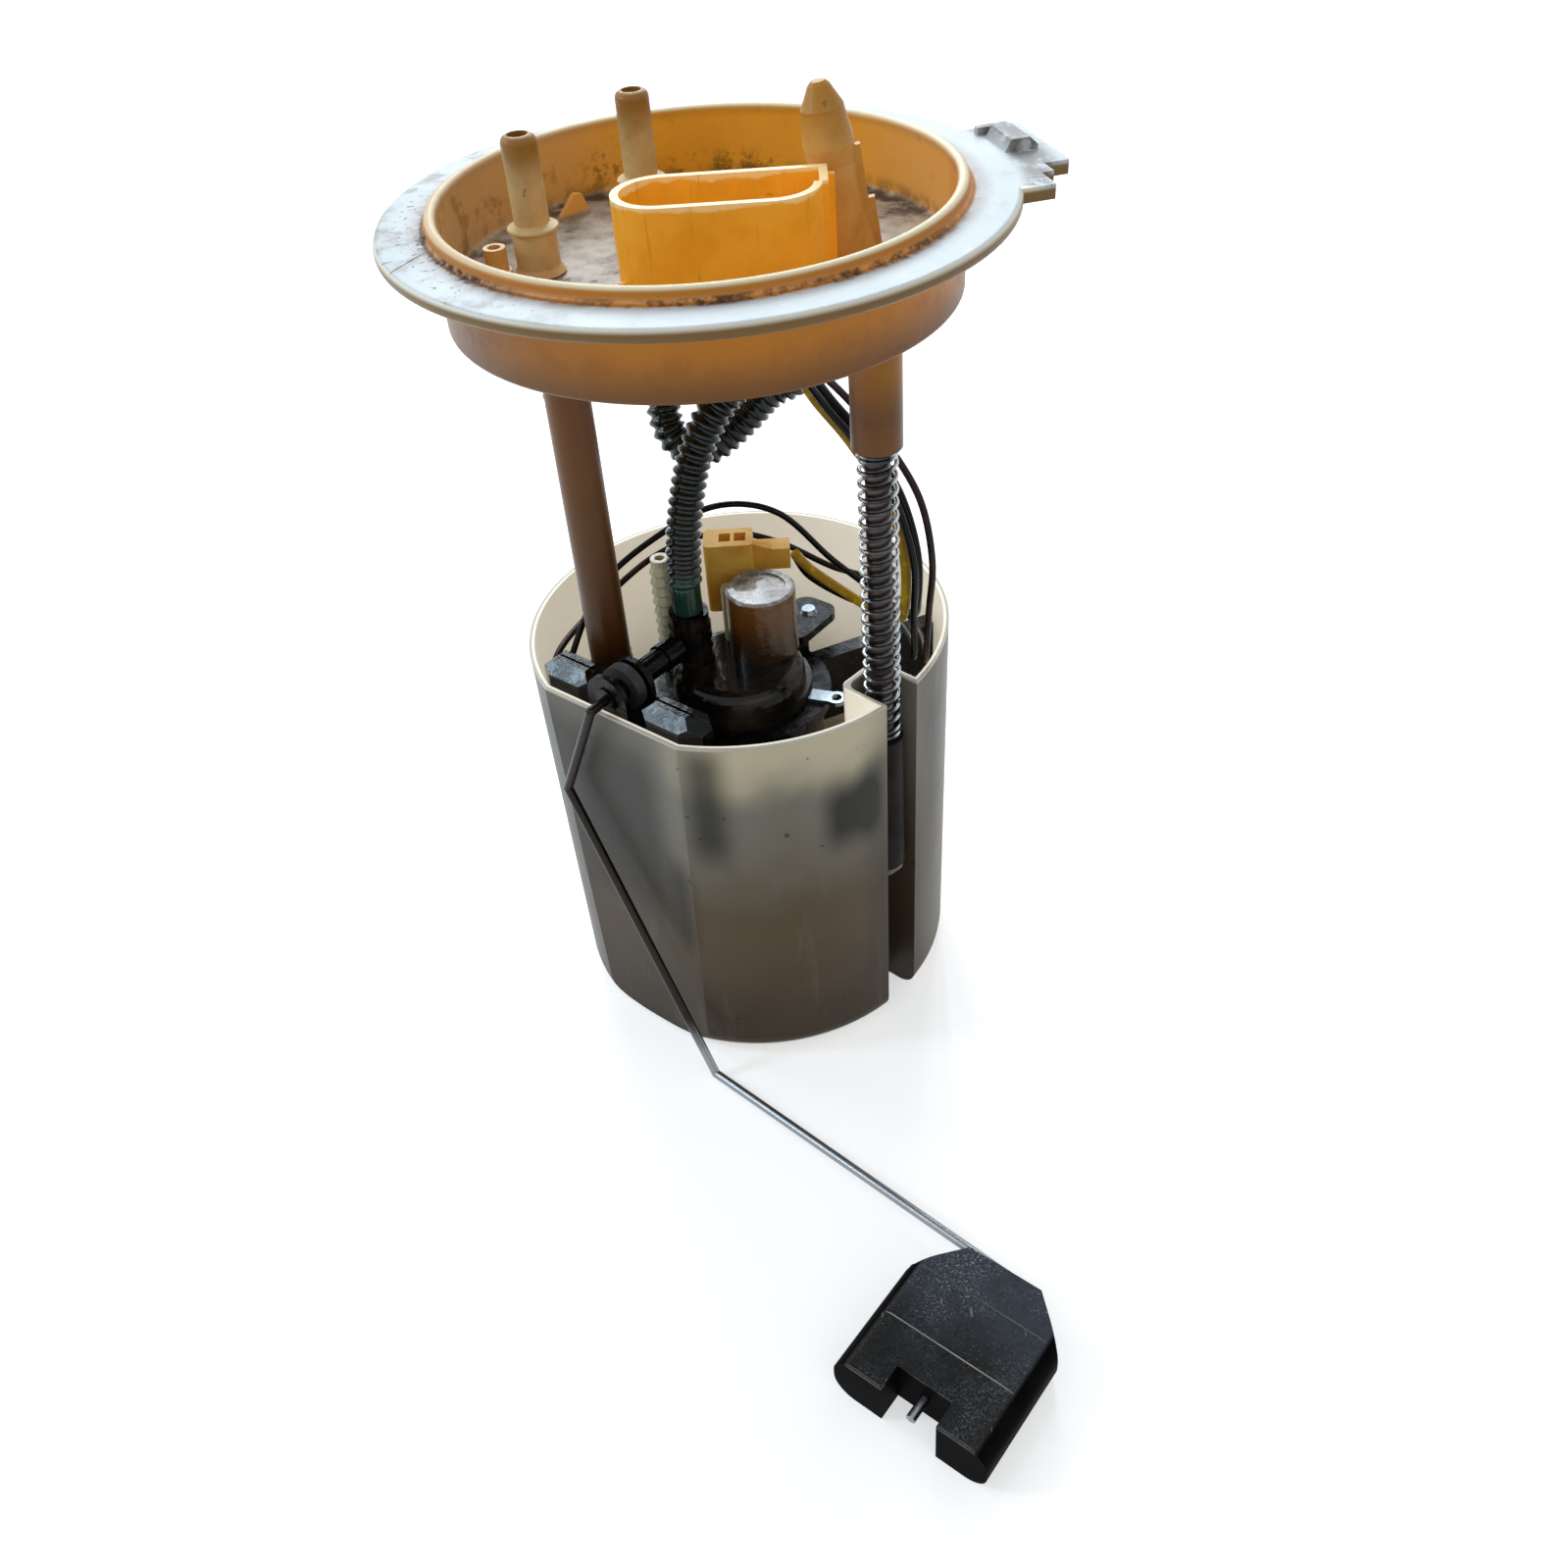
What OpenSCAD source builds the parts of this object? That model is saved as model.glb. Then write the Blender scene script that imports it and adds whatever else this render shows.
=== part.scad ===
// In-tank fuel pump module: tank flange, sprung guide rod, swirl pot with pump, and level sender.
// Millimetres. The origin is on the flange axis, at the sealing face under the flange ring, +Z up.

/* [Flange] */
// Outer diameter of the flange ring
flange_d = 142; // [138:0.5:150]
// Thickness of the flange ring
flange_t = 3.2; // [2.6:0.1:5]
// Height of the collar above the ring
collar_h = 3.1; // [2:0.1:6]
// Wall of the collar, which is a little thicker than the cup's
collar_wall = 2.8; // [2.4:0.1:4]
// Outer diameter of the cup that drops through the tank opening
cup_d = 117.8; // [116:0.1:122]
// Wall of the cup
cup_wall = 2.1; // [1.6:0.1:3]
// Depth of the cup's floor below the top of the ring
cup_depth = 14; // [12:0.1:20]
// Thickness of the cup's floor
cup_floor_t = 2.2; // [1.6:0.1:4]
// Depth of the skirt's lower edge below the top of the ring
skirt_depth = 21.2; // [20:0.1:30]
// Direction of the locating tab
tab_angle = 15; // [-30:1:60]
// Reach of the locating tab from the flange axis
tab_reach = 82; // [80:0.5:90]
// Width of the locating tab
tab_w = 30; // [24:0.5:36]

/* [Spigots] */
// Outer diameter of the two quick-connect spigots
spigot_d = 7.89; // [7.5:0.01:10]
// Height of the spigot tips above the sealing face
spigot_top = 19.1; // [16:0.1:30]
// Bore through the spigots
spigot_bore = 4.6; // [3:0.1:5.2]
// Diameter of the thicker foot of a spigot
spigot_foot_d = 9.9; // [9:0.1:13]
// Diameter of the collar on a spigot
spigot_collar_d = 11.6; // [11:0.1:16]
// Place of the return spigot
return_xy = [-36.8, -2]; // [-45:0.1:45]
// Place of the supply spigot
supply_xy = [-14.5, 26]; // [-45:0.1:45]
// Place of the foot of the closed heater nipple
nipple_xy = [32.5, -1]; // [-45:0.1:45]
// Lean of the heater nipple
nipple_lean = 8; // [0:1:12]
// Length of the heater nipple
nipple_len = 36.5; // [30:0.5:45]

/* [Connector] */
// Centre of the connector shroud
shroud_xy = [5.3, -20]; // [-20:0.1:20]
// Length of the connector shroud
shroud_l = 44; // [40:0.5:50]
// Width of the connector shroud
shroud_w = 21; // [18:0.5:24]
// Wall of the connector shroud
shroud_wall = 1.8; // [1.4:0.1:2.4]
// Height of the shroud's mouth above the sealing face
shroud_top = 11.2; // [9:0.1:20]
// Number of terminals in the connector
terminal_count = 5; // [3:1:6]
// Spacing of the terminals
terminal_pitch = 6; // [5:0.1:7]

/* [Guides] */
// Depth of the pot's underside below the sealing face, with the spring at full length
module_drop = 225; // [220:1:260]
// Diameter of the steel guide rod
rod_d = 6; // [5:0.1:6.6]
// Depth of the rod's lower end below the sealing face
rod_drop = 173; // [160:1:175]
// Diameter of the socket that holds the rod
socket_d = 11.7; // [11:0.1:13]
// Depth of the socket's lower end below the sealing face
socket_drop = 42; // [36:1:48]
// Outer diameter of the compression spring
spring_d = 9.7; // [9.6:0.1:11]
// Diameter of the spring wire
spring_wire = 1.2; // [0.8:0.05:1.3]
// Number of turns of the spring
spring_turns = 27; // [20:1:28]
// Outer diameter of the plastic guide tube
tube_d = 10.6; // [10:0.1:12]
// Wall of the guide tube
tube_wall = 1.6; // [1.2:0.1:2.4]
// Height of the guide tube's lower end above the pot's underside
tube_end = 58; // [55:1:80]

/* [Pot] */
// Outer diameter of the pot at its rim
pot_d = 113; // [113:0.5:120]
// Height of the pot
pot_h = 117; // [116:0.5:124]
// Wall of the pot
pot_wall = 1.4; // [1:0.1:1.8]
// Thickness of the pot's floor
pot_floor_t = 2; // [1.5:0.1:3]
// Draft of the pot, taken off the radius at its foot
pot_draft = 1.2; // [0.4:0.1:1.4]
// Radius at the pot's bottom edge
pot_edge_r = 6; // [3:0.5:6]
// Height of the feet under the pot
foot_h = 1.5; // [1:0.1:3]
// Direction that the pot's flat front faces
front_angle = -128; // [-132:1:-124]
// How far the flat front lies inside the round of the pot
front_cut = 4.6; // [3:0.1:4.6]
// Direction of the groove that the guide rod runs in
groove_angle = -42.5; // [-45:0.1:-40]
// Width of the rod groove
groove_w = 12; // [11.8:0.1:14]
// Depth of the rod groove
groove_depth = 13.5; // [12.6:0.1:14]
// Outer diameter of the sleeve that the guide rod slides in
sleeve_d = 10.6; // [10.4:0.1:11.2]
// Depth of the sleeve's top below the pot's rim
sleeve_drop = 16; // [10:0.5:24]
// Length of the sleeve
sleeve_l = 44; // [30:0.5:46]

/* [Pump] */
// Place of the pump's axis
pump_xy = [0, -17]; // [-20:0.5:20]
// Outer diameter of the pump's steel can
pump_d = 38; // [36:0.5:38.5]
// Wall of the pump's can
can_wall = 1.2; // [1:0.1:1.8]
// Height of the can's lower edge above the pot's underside
can_low = 38; // [36:0.5:46]
// Depth of the can's upper edge below the pot's rim
can_drop = 11; // [9:0.5:13]
// Diameter of the armature
armature_d = 23; // [20:0.5:24]
// Diameter of the rotor shaft
shaft_d = 3.2; // [3:0.1:4]
// Diameter of the impeller
impeller_d = 27; // [24:0.5:28]
// Number of vanes on the impeller
impeller_vanes = 24; // [16:1:36]
// Thickness of the impeller
impeller_t = 3; // [2:0.1:4]
// Diameter of the pressure regulator's cap
regulator_d = 18.2; // [16:0.1:19]
// Height of the regulator's cap
regulator_h = 18.5; // [16:0.5:22]
// Outer diameter of the corrugated hoses
hose_d = 9.2; // [8:0.1:9.6]

/* [Level sender] */
// Height of the sender's pivot above the pot's rim
pivot_rise = 3; // [2:0.5:4]
// Offset of the pivot along the flat front
pivot_c = -2; // [-3:0.1:-1]
// Outer diameter of the sender's hub
hub_d = 6.6; // [6:0.1:7]
// Diameter of the float arm's wire
wire_d = 2.5; // [2:0.1:3]
// Width of the float
float_w = 42; // [38:0.5:46]
// Length of the float
float_l = 42.5; // [40:0.5:46]
// Thickness of the float
float_t = 15; // [13:0.5:17]
// Round of the float's long edges
float_r = 6; // [3:0.5:6]

/* [Hidden] */
$fn = 64;

// Running clearance between pieces that slide or turn on each other
run_gap = 0.3;
// Clearance between pieces that are pushed together
fit_gap = 0.05;

// Heights of the flange, measured from the sealing face
ring_top = flange_t;
floor_top = flange_t - cup_depth;
floor_low = floor_top - cup_floor_t;
skirt_low = flange_t - skirt_depth;
collar_top = flange_t + collar_h;
flange_r = flange_d / 2;
cup_r = cup_d / 2;
cup_inner_r = cup_r - cup_wall;

// Heights of the pot, measured from the sealing face
pot_base = -module_drop;
pot_rim = pot_base + pot_h;
pot_r = pot_d / 2;
pot_floor = foot_h + pot_floor_t;
can_high = pot_h - can_drop;
pivot_h = pot_h + pivot_rise;
sleeve_top = pot_rim - sleeve_drop;
front_flat = pot_r - front_cut;
front_inner = front_flat - pot_wall;

// Head of the rod's socket, under the floor of the cup
socket_head_d = socket_d + 1.6;
socket_roof = 2.5;

// The rod stands in the middle of the groove
rod_r = rod_d / 2;
groove_mid_r = pot_r - groove_depth / 2;
rod_xy = groove_mid_r * [cos(groove_angle), sin(groove_angle)];

// The guide tube stands behind the left end of the sender
tube_c = -17;
tube_n = front_inner - 18.2;

// A place given along the flat front (c) and out of it (n)
function front_xy(c, n) =
  c * [cos(front_angle + 90), sin(front_angle + 90)] + n * [cos(front_angle), sin(front_angle)];
tube_xy = front_xy(tube_c, tube_n);
tube_inner_d = tube_d - 2 * tube_wall;

// Points of an arc, for round corners of outlines
function arc(centre, radius, from, to, steps = 6) =
  [for (i = [0:steps]) let (a = from + (to - from) * i / steps) centre + radius * [cos(a), sin(a)]];

// Sweep of a round tube along a route
function unit(v) = v / norm(v);
function route_tangent(p, i) = unit(p[min(i + 1, len(p) - 1)] - p[max(i - 1, 0)]);
function square_to(v, t) = unit(v - (v * t) * t);
function route_normals(p) = [
  for (i = 0, v = square_to([1, 0.2, 0.1], route_tangent(p, 0));
       i < len(p);
       i = i + 1, v = square_to(v, route_tangent(p, min(i, len(p) - 1))))
    v];
function catmull(a, b, c, d, t) =
  0.5 * (2 * b + (c - a) * t + (2 * a - 5 * b + 4 * c - d) * t * t + (3 * b - a - 3 * c + d) * t * t * t);
function smooth_route(p, steps) = concat(
  [for (i = [0:len(p) - 2], s = [0:steps - 1])
    catmull(p[max(i - 1, 0)], p[i], p[i + 1], p[min(i + 2, len(p) - 1)], s / steps)],
  [p[len(p) - 1]]);

module swept_tube(route, d, sides = 8) {
  normals = route_normals(route);
  last = len(route) - 1;
  points = [
    for (i = [0:last], k = [0:sides - 1])
      let (t = route_tangent(route, i), u = normals[i], w = cross(t, u), a = 360 * k / sides)
        route[i] + d / 2 * (cos(a) * u + sin(a) * w)];
  faces = concat(
    [[for (k = [0:sides - 1]) k]],
    [for (i = [0:last - 1], k = [0:sides - 1])
      [i * sides + k, (i + 1) * sides + k, (i + 1) * sides + (k + 1) % sides, i * sides + (k + 1) % sides]],
    [[for (k = [sides - 1:-1:0]) last * sides + k]]);
  polyhedron(points = points, faces = faces, convexity = 6);
}

// Places shared by several pieces
module on_pot() translate([0, 0, pot_base]) children();
module along_front() rotate(front_angle + 90) children();
module at_pump() translate([pump_xy[0], pump_xy[1], pot_base]) children();
module at_pivot() on_pot() along_front() translate([pivot_c, 0, pivot_h]) rotate([90, 0, 0]) children();

module ring(r_outer, r_inner, h) {
  difference() {
    cylinder(r = r_outer, h = h);
    translate([0, 0, -1]) cylinder(r = r_inner, h = h + 2);
  }
}

module stadium(l, w) {
  square([l - w, w], center = true);
  for (side = [-1, 1]) translate([side * (l - w) / 2, 0]) circle(d = w);
}

module round_square(size, r) {
  square([size[0] - 2 * r, size[1]], center = true);
  square([size[0], size[1] - 2 * r], center = true);
  for (x = [-1, 1], y = [-1, 1]) translate([x * (size[0] / 2 - r), y * (size[1] / 2 - r)]) circle(r = r);
}

// Flange cover: ring, collar, cup, skirt and locating tab in one moulding
ring_edge_r = 1.3;
collar_fillet = 1.2;
skirt_edge_r = 1;
cover_section = concat(
  [[0, floor_low], [cup_inner_r, floor_low], [cup_inner_r, skirt_low + skirt_edge_r]],
  arc([cup_inner_r + skirt_edge_r, skirt_low + skirt_edge_r], skirt_edge_r, 180, 270),
  arc([cup_r - skirt_edge_r, skirt_low + skirt_edge_r], skirt_edge_r, 270, 360),
  [[cup_r, 0]],
  arc([flange_r - ring_edge_r, ring_edge_r], ring_edge_r, -90, 0),
  arc([flange_r - ring_edge_r, ring_top - ring_edge_r], ring_edge_r, 0, 90),
  arc([cup_inner_r + collar_wall + collar_fillet, ring_top + collar_fillet], collar_fillet, 270, 180),
  arc([cup_inner_r + collar_wall / 2, collar_top - collar_wall / 2], collar_wall / 2, 0, 180, 10),
  arc([cup_inner_r - collar_fillet, floor_top + collar_fillet], collar_fillet, 360, 270),
  [[0, floor_top]]);

rib_t = 1.6;
rib_angles = [20, 65, 110, 155, 200, 250, 290, 340];
rib_inner_r = 44;
rib_sink = 0.5;
rib_lift = 2;
tab_root = 6;
tab_skew = 1.5;
tab_steps = [[4, 6], [12, 9]];
ramp_h = 2.6;
ramp_w = 12;
ramp_back = 3;
tab_rib_h = 1.6;

module locating_tab() {
  rotate(tab_angle) {
    linear_extrude(flange_t) {
      translate([flange_r - tab_root, -tab_w / 2 + tab_skew])
        square([tab_reach - flange_r + tab_root, tab_w]);
      // The tab falls back in two steps at its right
      for (step = tab_steps)
        translate([flange_r - tab_root, -tab_w / 2 - step[0]])
          square([tab_reach - flange_r + tab_root - step[1], tab_w / 2]);
    }
    // Latch ramp that the lock ring rides over
    translate([tab_reach - ramp_back, -ramp_w / 4, ring_top]) rotate([-90, 0, 0])
      linear_extrude(ramp_w) polygon([[-8, 0], [-6.5, -ramp_h], [-2, -ramp_h], [0, -0.8], [0, 0]]);
    translate([flange_r - 1, tab_w / 2 - ramp_back - rib_sink, ring_top])
      linear_extrude(tab_rib_h) square([8, 2]);
  }
}

terminal_size = [2.8, 0.8];
function terminal_x(i) = shroud_xy[0] + (i - (terminal_count - 1) / 2) * terminal_pitch;

module flange_cover() {
  color("#e3cf9d") difference() {
    union() {
      rotate_extrude($fn = 180) polygon(cover_section);
      locating_tab();
      // Ribs under the floor
      for (a = rib_angles)
        rotate(a) translate([rib_inner_r, -rib_t / 2, skirt_low + rib_lift])
          cube([cup_inner_r - rib_inner_r + rib_sink, rib_t, floor_low - skirt_low - rib_lift + rib_sink]);
      translate([0, 0, floor_low - rib_lift])
        ring(rib_inner_r + rib_t / 2, rib_inner_r - rib_t / 2, rib_lift + rib_sink);
      // Small fin by the supply spigot
      translate([-33, 33, floor_top]) rotate(40) rotate([90, 0, 0])
        linear_extrude(1.4, center = true) polygon([[-5, -0.2], [5, -0.2], [3, 5], [1, 5.5]]);
    }
    for (xy = [supply_xy, return_xy])
      translate([xy[0], xy[1], floor_low - 4]) cylinder(d = spigot_foot_d + 2 * fit_gap, h = cup_floor_t + 5);
    translate([rod_xy[0], rod_xy[1], skirt_low - 1])
      cylinder(d = socket_head_d + 2 * fit_gap, h = floor_low - skirt_low + 1);
    for (i = [0:terminal_count - 1])
      translate([terminal_x(i), shroud_xy[1], floor_low])
        linear_extrude(3 * cup_floor_t, center = true)
          square([terminal_size[0] + 2 * fit_gap, terminal_size[1] + 2 * fit_gap], center = true);
  }
}

// Connector shroud with its coding ribs, welded to the floor of the cup
module shroud_plan(inset) {
  union() {
    stadium(shroud_l - 2 * inset, shroud_w - 2 * inset);
    // Square coding corner at the right
    translate([shroud_l / 2 - shroud_w / 2 + inset, 0])
      square([shroud_w / 2 - 2 * inset + 1.2, shroud_w / 2 - inset]);
  }
}

coding_rib = [1.7, 1.6];
module connector_shroud() {
  color("#f2a73c") translate([shroud_xy[0], shroud_xy[1], floor_top]) {
    difference() {
      linear_extrude(shroud_top - floor_top) shroud_plan(0);
      translate([0, 0, -1]) linear_extrude(shroud_top - floor_top + 2) shroud_plan(shroud_wall);
    }
    // Coding ribs outside
    for (rib = [[shroud_l / 2 + 1, shroud_w / 2 - 3.5], [shroud_l / 2 - 3, shroud_w / 2 - 0.2]])
      translate(rib) linear_extrude(shroud_top - floor_top - 1) square(coding_rib);
    translate([-(shroud_l - shroud_w) / 2, 0]) rotate(215) translate([shroud_w / 2 - 0.3, -0.7])
      linear_extrude(6) square([1.8, 1.4]);
  }
}

terminal_up = 9;
plug_size = [34, 11, 12];
module connector_terminals() {
  color("#c9b06b") for (i = [0:terminal_count - 1])
    translate([terminal_x(i) - terminal_size[0] / 2, shroud_xy[1] - terminal_size[1] / 2, floor_low])
      cube([terminal_size[0], terminal_size[1], cup_floor_t + terminal_up]);
}

// Plug of the inner harness, under the floor
plug_low = floor_low - plug_size[2];
module harness_plug() {
  color("#2a2a28") translate([shroud_xy[0], shroud_xy[1], plug_low]) {
    difference() {
      linear_extrude(plug_size[2]) round_square([plug_size[0], plug_size[1]], 2);
      for (i = [0:terminal_count - 1])
        translate([(i - (terminal_count - 1) / 2) * terminal_pitch, 0, -1]) cylinder(d = 2.6, h = 6);
    }
    translate([0, plug_size[1] / 2 + 0.8, 3]) linear_extrude(plug_size[2] - 4) square([9, 2], center = true);
  }
}

// Quick-connect spigot: nose, smooth sealing length, collar and foot above, hose barb below
spigot_collar_z = -1;
barb_len = 15;
barb_d = 6.6;
barb_low = floor_low - barb_len;
module spigot() {
  r = spigot_d / 2;
  foot_r = spigot_foot_d / 2;
  collar_r = spigot_collar_d / 2;
  rotate_extrude() polygon(concat(
    [[spigot_bore / 2, barb_low], [barb_d / 2 - 0.6, barb_low], [barb_d / 2 + 0.4, barb_low + 3]],
    [[barb_d / 2 - 0.4, barb_low + 3.2], [barb_d / 2 + 0.4, barb_low + 6.5]],
    [[barb_d / 2 - 0.4, barb_low + 6.7]],
    [[barb_d / 2 - 0.4, floor_low - 3], [foot_r, floor_low - 3], [foot_r, floor_top + 0.5]],
    [[foot_r + 1, floor_top + 0.5], [foot_r, floor_top + 2], [foot_r, spigot_collar_z]],
    arc([collar_r - 0.5, spigot_collar_z + 0.5], 0.5, -90, 90, 4),
    [[r, spigot_collar_z + 1.6], [r, spigot_top - 1.6]],
    arc([r - 1.6, spigot_top - 1.6], 1.6, 0, 70, 4),
    [[spigot_bore / 2, spigot_top]]));
}

module supply_spigot() color("#b7a578") translate([supply_xy[0], supply_xy[1], 0]) spigot();
module return_spigot() color("#b7a578") translate([return_xy[0], return_xy[1], 0]) spigot();

// Closed nipple for a heater line, still uncut at its tip
nipple_foot_r = 7;
nipple_r = 5;
nipple_barb_r = 5.6;
module heater_nipple() {
  color("#d8ad62") difference() {
    translate([nipple_xy[0], nipple_xy[1], floor_top]) rotate([0, -nipple_lean, 0]) {
      rotate_extrude() polygon([
        [0, -2], [nipple_foot_r, -2], [nipple_foot_r, 0], [nipple_r + 0.4, 10], [nipple_r, nipple_len - 17],
        [nipple_barb_r, nipple_len - 13], [nipple_barb_r, nipple_len - 12], [nipple_r - 0.3, nipple_len - 6],
        [nipple_r - 0.3, nipple_len - 5.2], [2.4, nipple_len - 0.8], [1.6, nipple_len], [0, nipple_len]]);
      // Rib down the right side, which ends in a step
      translate([0, -0.9, -2]) cube([nipple_r + 1.6, 1.8, nipple_len - 12]);
      translate([0, -0.9, -2]) cube([nipple_r + 3, 1.8, 13]);
    }
    translate([nipple_xy[0], nipple_xy[1], floor_top - 10]) cube([40, 40, 20], center = true);
  }
}

// Short vent stub by the rim of the cup
stub_xy = [-45, -8];
module vent_stub() {
  color("#e0bb78") translate([stub_xy[0], stub_xy[1], floor_top]) difference() {
    union() {
      cylinder(d = 5, h = 8.5);
      cylinder(d = 6.4, h = 3.5);
    }
    translate([0, 0, 2]) cylinder(d = 3, h = 8);
  }
}

// Socket that grips the guide rod
socket_depth = socket_drop + floor_low;
socket_head_h = 4;
module rod_socket() {
  color("#b9762c") translate([rod_xy[0], rod_xy[1], -socket_drop]) difference() {
    union() {
      cylinder(d = socket_d, h = socket_depth);
      translate([0, 0, socket_depth - socket_head_h])
        cylinder(d1 = socket_d, d2 = socket_head_d, h = socket_head_h);
    }
    translate([0, 0, -1]) cylinder(d = rod_d + 2 * fit_gap, h = socket_depth - socket_roof + 1);
    translate([0, 0, -1]) cylinder(d = rod_d + 1, h = 2);
  }
}

rod_chamfer = 0.8;
module guide_rod() {
  color("#b9bcc0") translate([rod_xy[0], rod_xy[1], -rod_drop]) {
    rod_len = rod_drop - socket_drop + socket_depth - socket_roof - fit_gap;
    translate([0, 0, rod_chamfer]) cylinder(d = rod_d, h = rod_len - rod_chamfer);
    cylinder(d1 = rod_d - 2 * rod_chamfer, d2 = rod_d, h = rod_chamfer);
  }
}

// Clip on the rod, under the sleeve: it stops the spring from lifting the flange off
clip_t = 1.2;
clip_w = 2;
clip_open = 2.4;
module rod_stop_clip() {
  color("#8d9094") translate([rod_xy[0], rod_xy[1], sleeve_top - sleeve_l - run_gap - clip_t]) difference() {
    cylinder(d = rod_d + 2 * clip_w, h = clip_t);
    translate([0, 0, -1]) cylinder(d = rod_d + 2 * fit_gap, h = clip_t + 2);
    translate([rod_r + clip_w, 0, 0]) cube([2 * clip_w, clip_open, 4 * clip_t], center = true);
  }
}

// Sleeve in the pot's groove: the rod slides in it, the spring stands on it, and two webs
// carry it on the wall of the groove
web_t = 2.4;
module rod_sleeve() {
  web_l = sleeve_d / 2 + groove_depth / 2 - run_gap;
  color("#4d4b48") translate([rod_xy[0], rod_xy[1], sleeve_top - sleeve_l]) difference() {
    union() {
      cylinder(d = sleeve_d, h = sleeve_l);
      rotate(groove_angle) for (side = [-1, 1])
        translate([-groove_depth / 2 + run_gap, side * (sleeve_d / 2 - web_t) - web_t / 2, web_t])
          cube([web_l - sleeve_d / 2, web_t, sleeve_l - 2 * web_t]);
    }
    translate([0, 0, -1]) cylinder(r = rod_r + run_gap, h = sleeve_l + 2);
  }
}

module guide_tube() {
  color("#b06a25") translate([tube_xy[0], tube_xy[1], pot_base + tube_end]) {
    tube_len = floor_low - pot_base - tube_end;
    difference() {
      union() {
        cylinder(d = tube_d, h = tube_len);
        translate([0, 0, tube_len - 7]) cylinder(d = tube_d + 1.4, h = 7);
      }
      translate([0, 0, -1]) cylinder(d = tube_inner_d, h = tube_len - 2);
    }
  }
}

// Compression spring on the rod, between the socket and the sleeve
spring_low = sleeve_top + spring_wire / 2 + 0.2;
spring_high = -socket_drop - spring_wire / 2 - 0.2;
spring_r = (spring_d - spring_wire) / 2;
spring_steps = 10;
end_turns = 1.5;
// Height of the spring wire at a turn: the end turns lie close together
function spring_z(turn) =
  let (free = spring_turns - 2 * end_turns, close = end_turns * spring_wire * 1.05,
       pitch = (spring_high - spring_low - 2 * close) / free)
    turn < end_turns ? spring_low + turn * spring_wire * 1.05 :
    turn > spring_turns - end_turns ? spring_high - (spring_turns - turn) * spring_wire * 1.05 :
    spring_low + close + (turn - end_turns) * pitch;
spring_route = [
  for (i = [0:spring_turns * spring_steps])
    let (turn = i / spring_steps, a = 360 * turn)
      [rod_xy[0] + spring_r * cos(a), rod_xy[1] + spring_r * sin(a), spring_z(turn)]];
module guide_spring() color("#9aa0a6") swept_tube(spring_route, spring_wire, 6);

// Swirl pot: drafted, with a flat front, a groove for the guide rod, a sump floor and feet
module groove_plan(inset) {
  corner = 3;
  w = groove_w + 2 * inset;
  start = pot_r - groove_depth - inset;
  rotate(groove_angle) {
    translate([start + corner, -w / 2]) square([groove_depth + 12, w]);
    translate([start, -w / 2 + corner]) square([corner + 1, w - 2 * corner]);
    for (side = [-1, 1]) translate([start + corner, side * (w / 2 - corner)]) circle(r = corner);
  }
}

module pot_plan(inset) {
  difference() {
    circle(r = pot_r - inset, $fn = 180);
    rotate(front_angle) translate([front_flat - inset, -pot_r]) square([pot_r, 2 * pot_r]);
    groove_plan(inset);
  }
}

// Body of revolution that gives the pot its draft and its round bottom edge
module pot_form(inset, low) {
  top_r = pot_r - inset;
  foot_r = pot_r - pot_draft - inset;
  edge = max(pot_edge_r - inset, 1);
  rotate_extrude($fn = 180) polygon(concat(
    [[0, low], [foot_r - edge, low]],
    arc([foot_r - edge, low + edge], edge, -90, 0),
    [[top_r, pot_h], [top_r, pot_h + 5], [0, pot_h + 5]]));
}

// Inset of what seats on the drafted wall, from a height up
function wall_inset(low) = pot_wall + run_gap + pot_draft * (pot_h - low) / pot_h;

valve_xy = [-8, 26];
valve_r = 9;
seat_flange = 3;
module swirl_pot() {
  color("#a9a59b") on_pot() difference() {
    union() {
      difference() {
        intersection() {
          linear_extrude(pot_h) pot_plan(0);
          pot_form(0, foot_h);
        }
        intersection() {
          translate([0, 0, pot_floor]) linear_extrude(pot_h) pot_plan(pot_wall);
          pot_form(pot_wall, pot_floor);
        }
      }
      // Feet
      for (a = [60, 180, 290])
        rotate(a) translate([40, 0, 0]) cylinder(d = 12, h = foot_h + 0.5);
    }
    translate([valve_xy[0], valve_xy[1], -1]) cylinder(r = valve_r, h = pot_floor + 2);
  }
}

// First-fill valve in the pot's floor: a spoked seat with a stem, and a loose disc on it
seat_t = 1.2;
stem_r = 1.8;
disc_r = valve_r - 1.2;
disc_t = 1;
disc_lift = 1.5;
module inlet_valve_seat() {
  color("#3a3a3a") on_pot() translate([valve_xy[0], valve_xy[1], 0]) {
    translate([0, 0, pot_floor]) ring(valve_r + seat_flange, valve_r - 0.8, seat_t);
    translate([0, 0, foot_h]) ring(valve_r - fit_gap, valve_r - 2.4, pot_floor_t + 0.5);
    for (a = [0:60:300])
      rotate(a) translate([0, -0.6, foot_h]) cube([valve_r - 2, 1.2, pot_floor_t]);
    translate([0, 0, foot_h]) cylinder(r = stem_r, h = pot_floor_t + seat_t + disc_lift + 1);
    translate([0, 0, pot_floor + disc_t + disc_lift + 0.2]) cylinder(r = stem_r + 1.6, h = 1);
  }
}

module inlet_valve_disc() {
  color("#26282b") on_pot() translate([valve_xy[0], valve_xy[1], pot_floor + 0.6]) translate([0, 0, -0.05])
    ring(disc_r, stem_r + run_gap, disc_t - 0.3);
}

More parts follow.
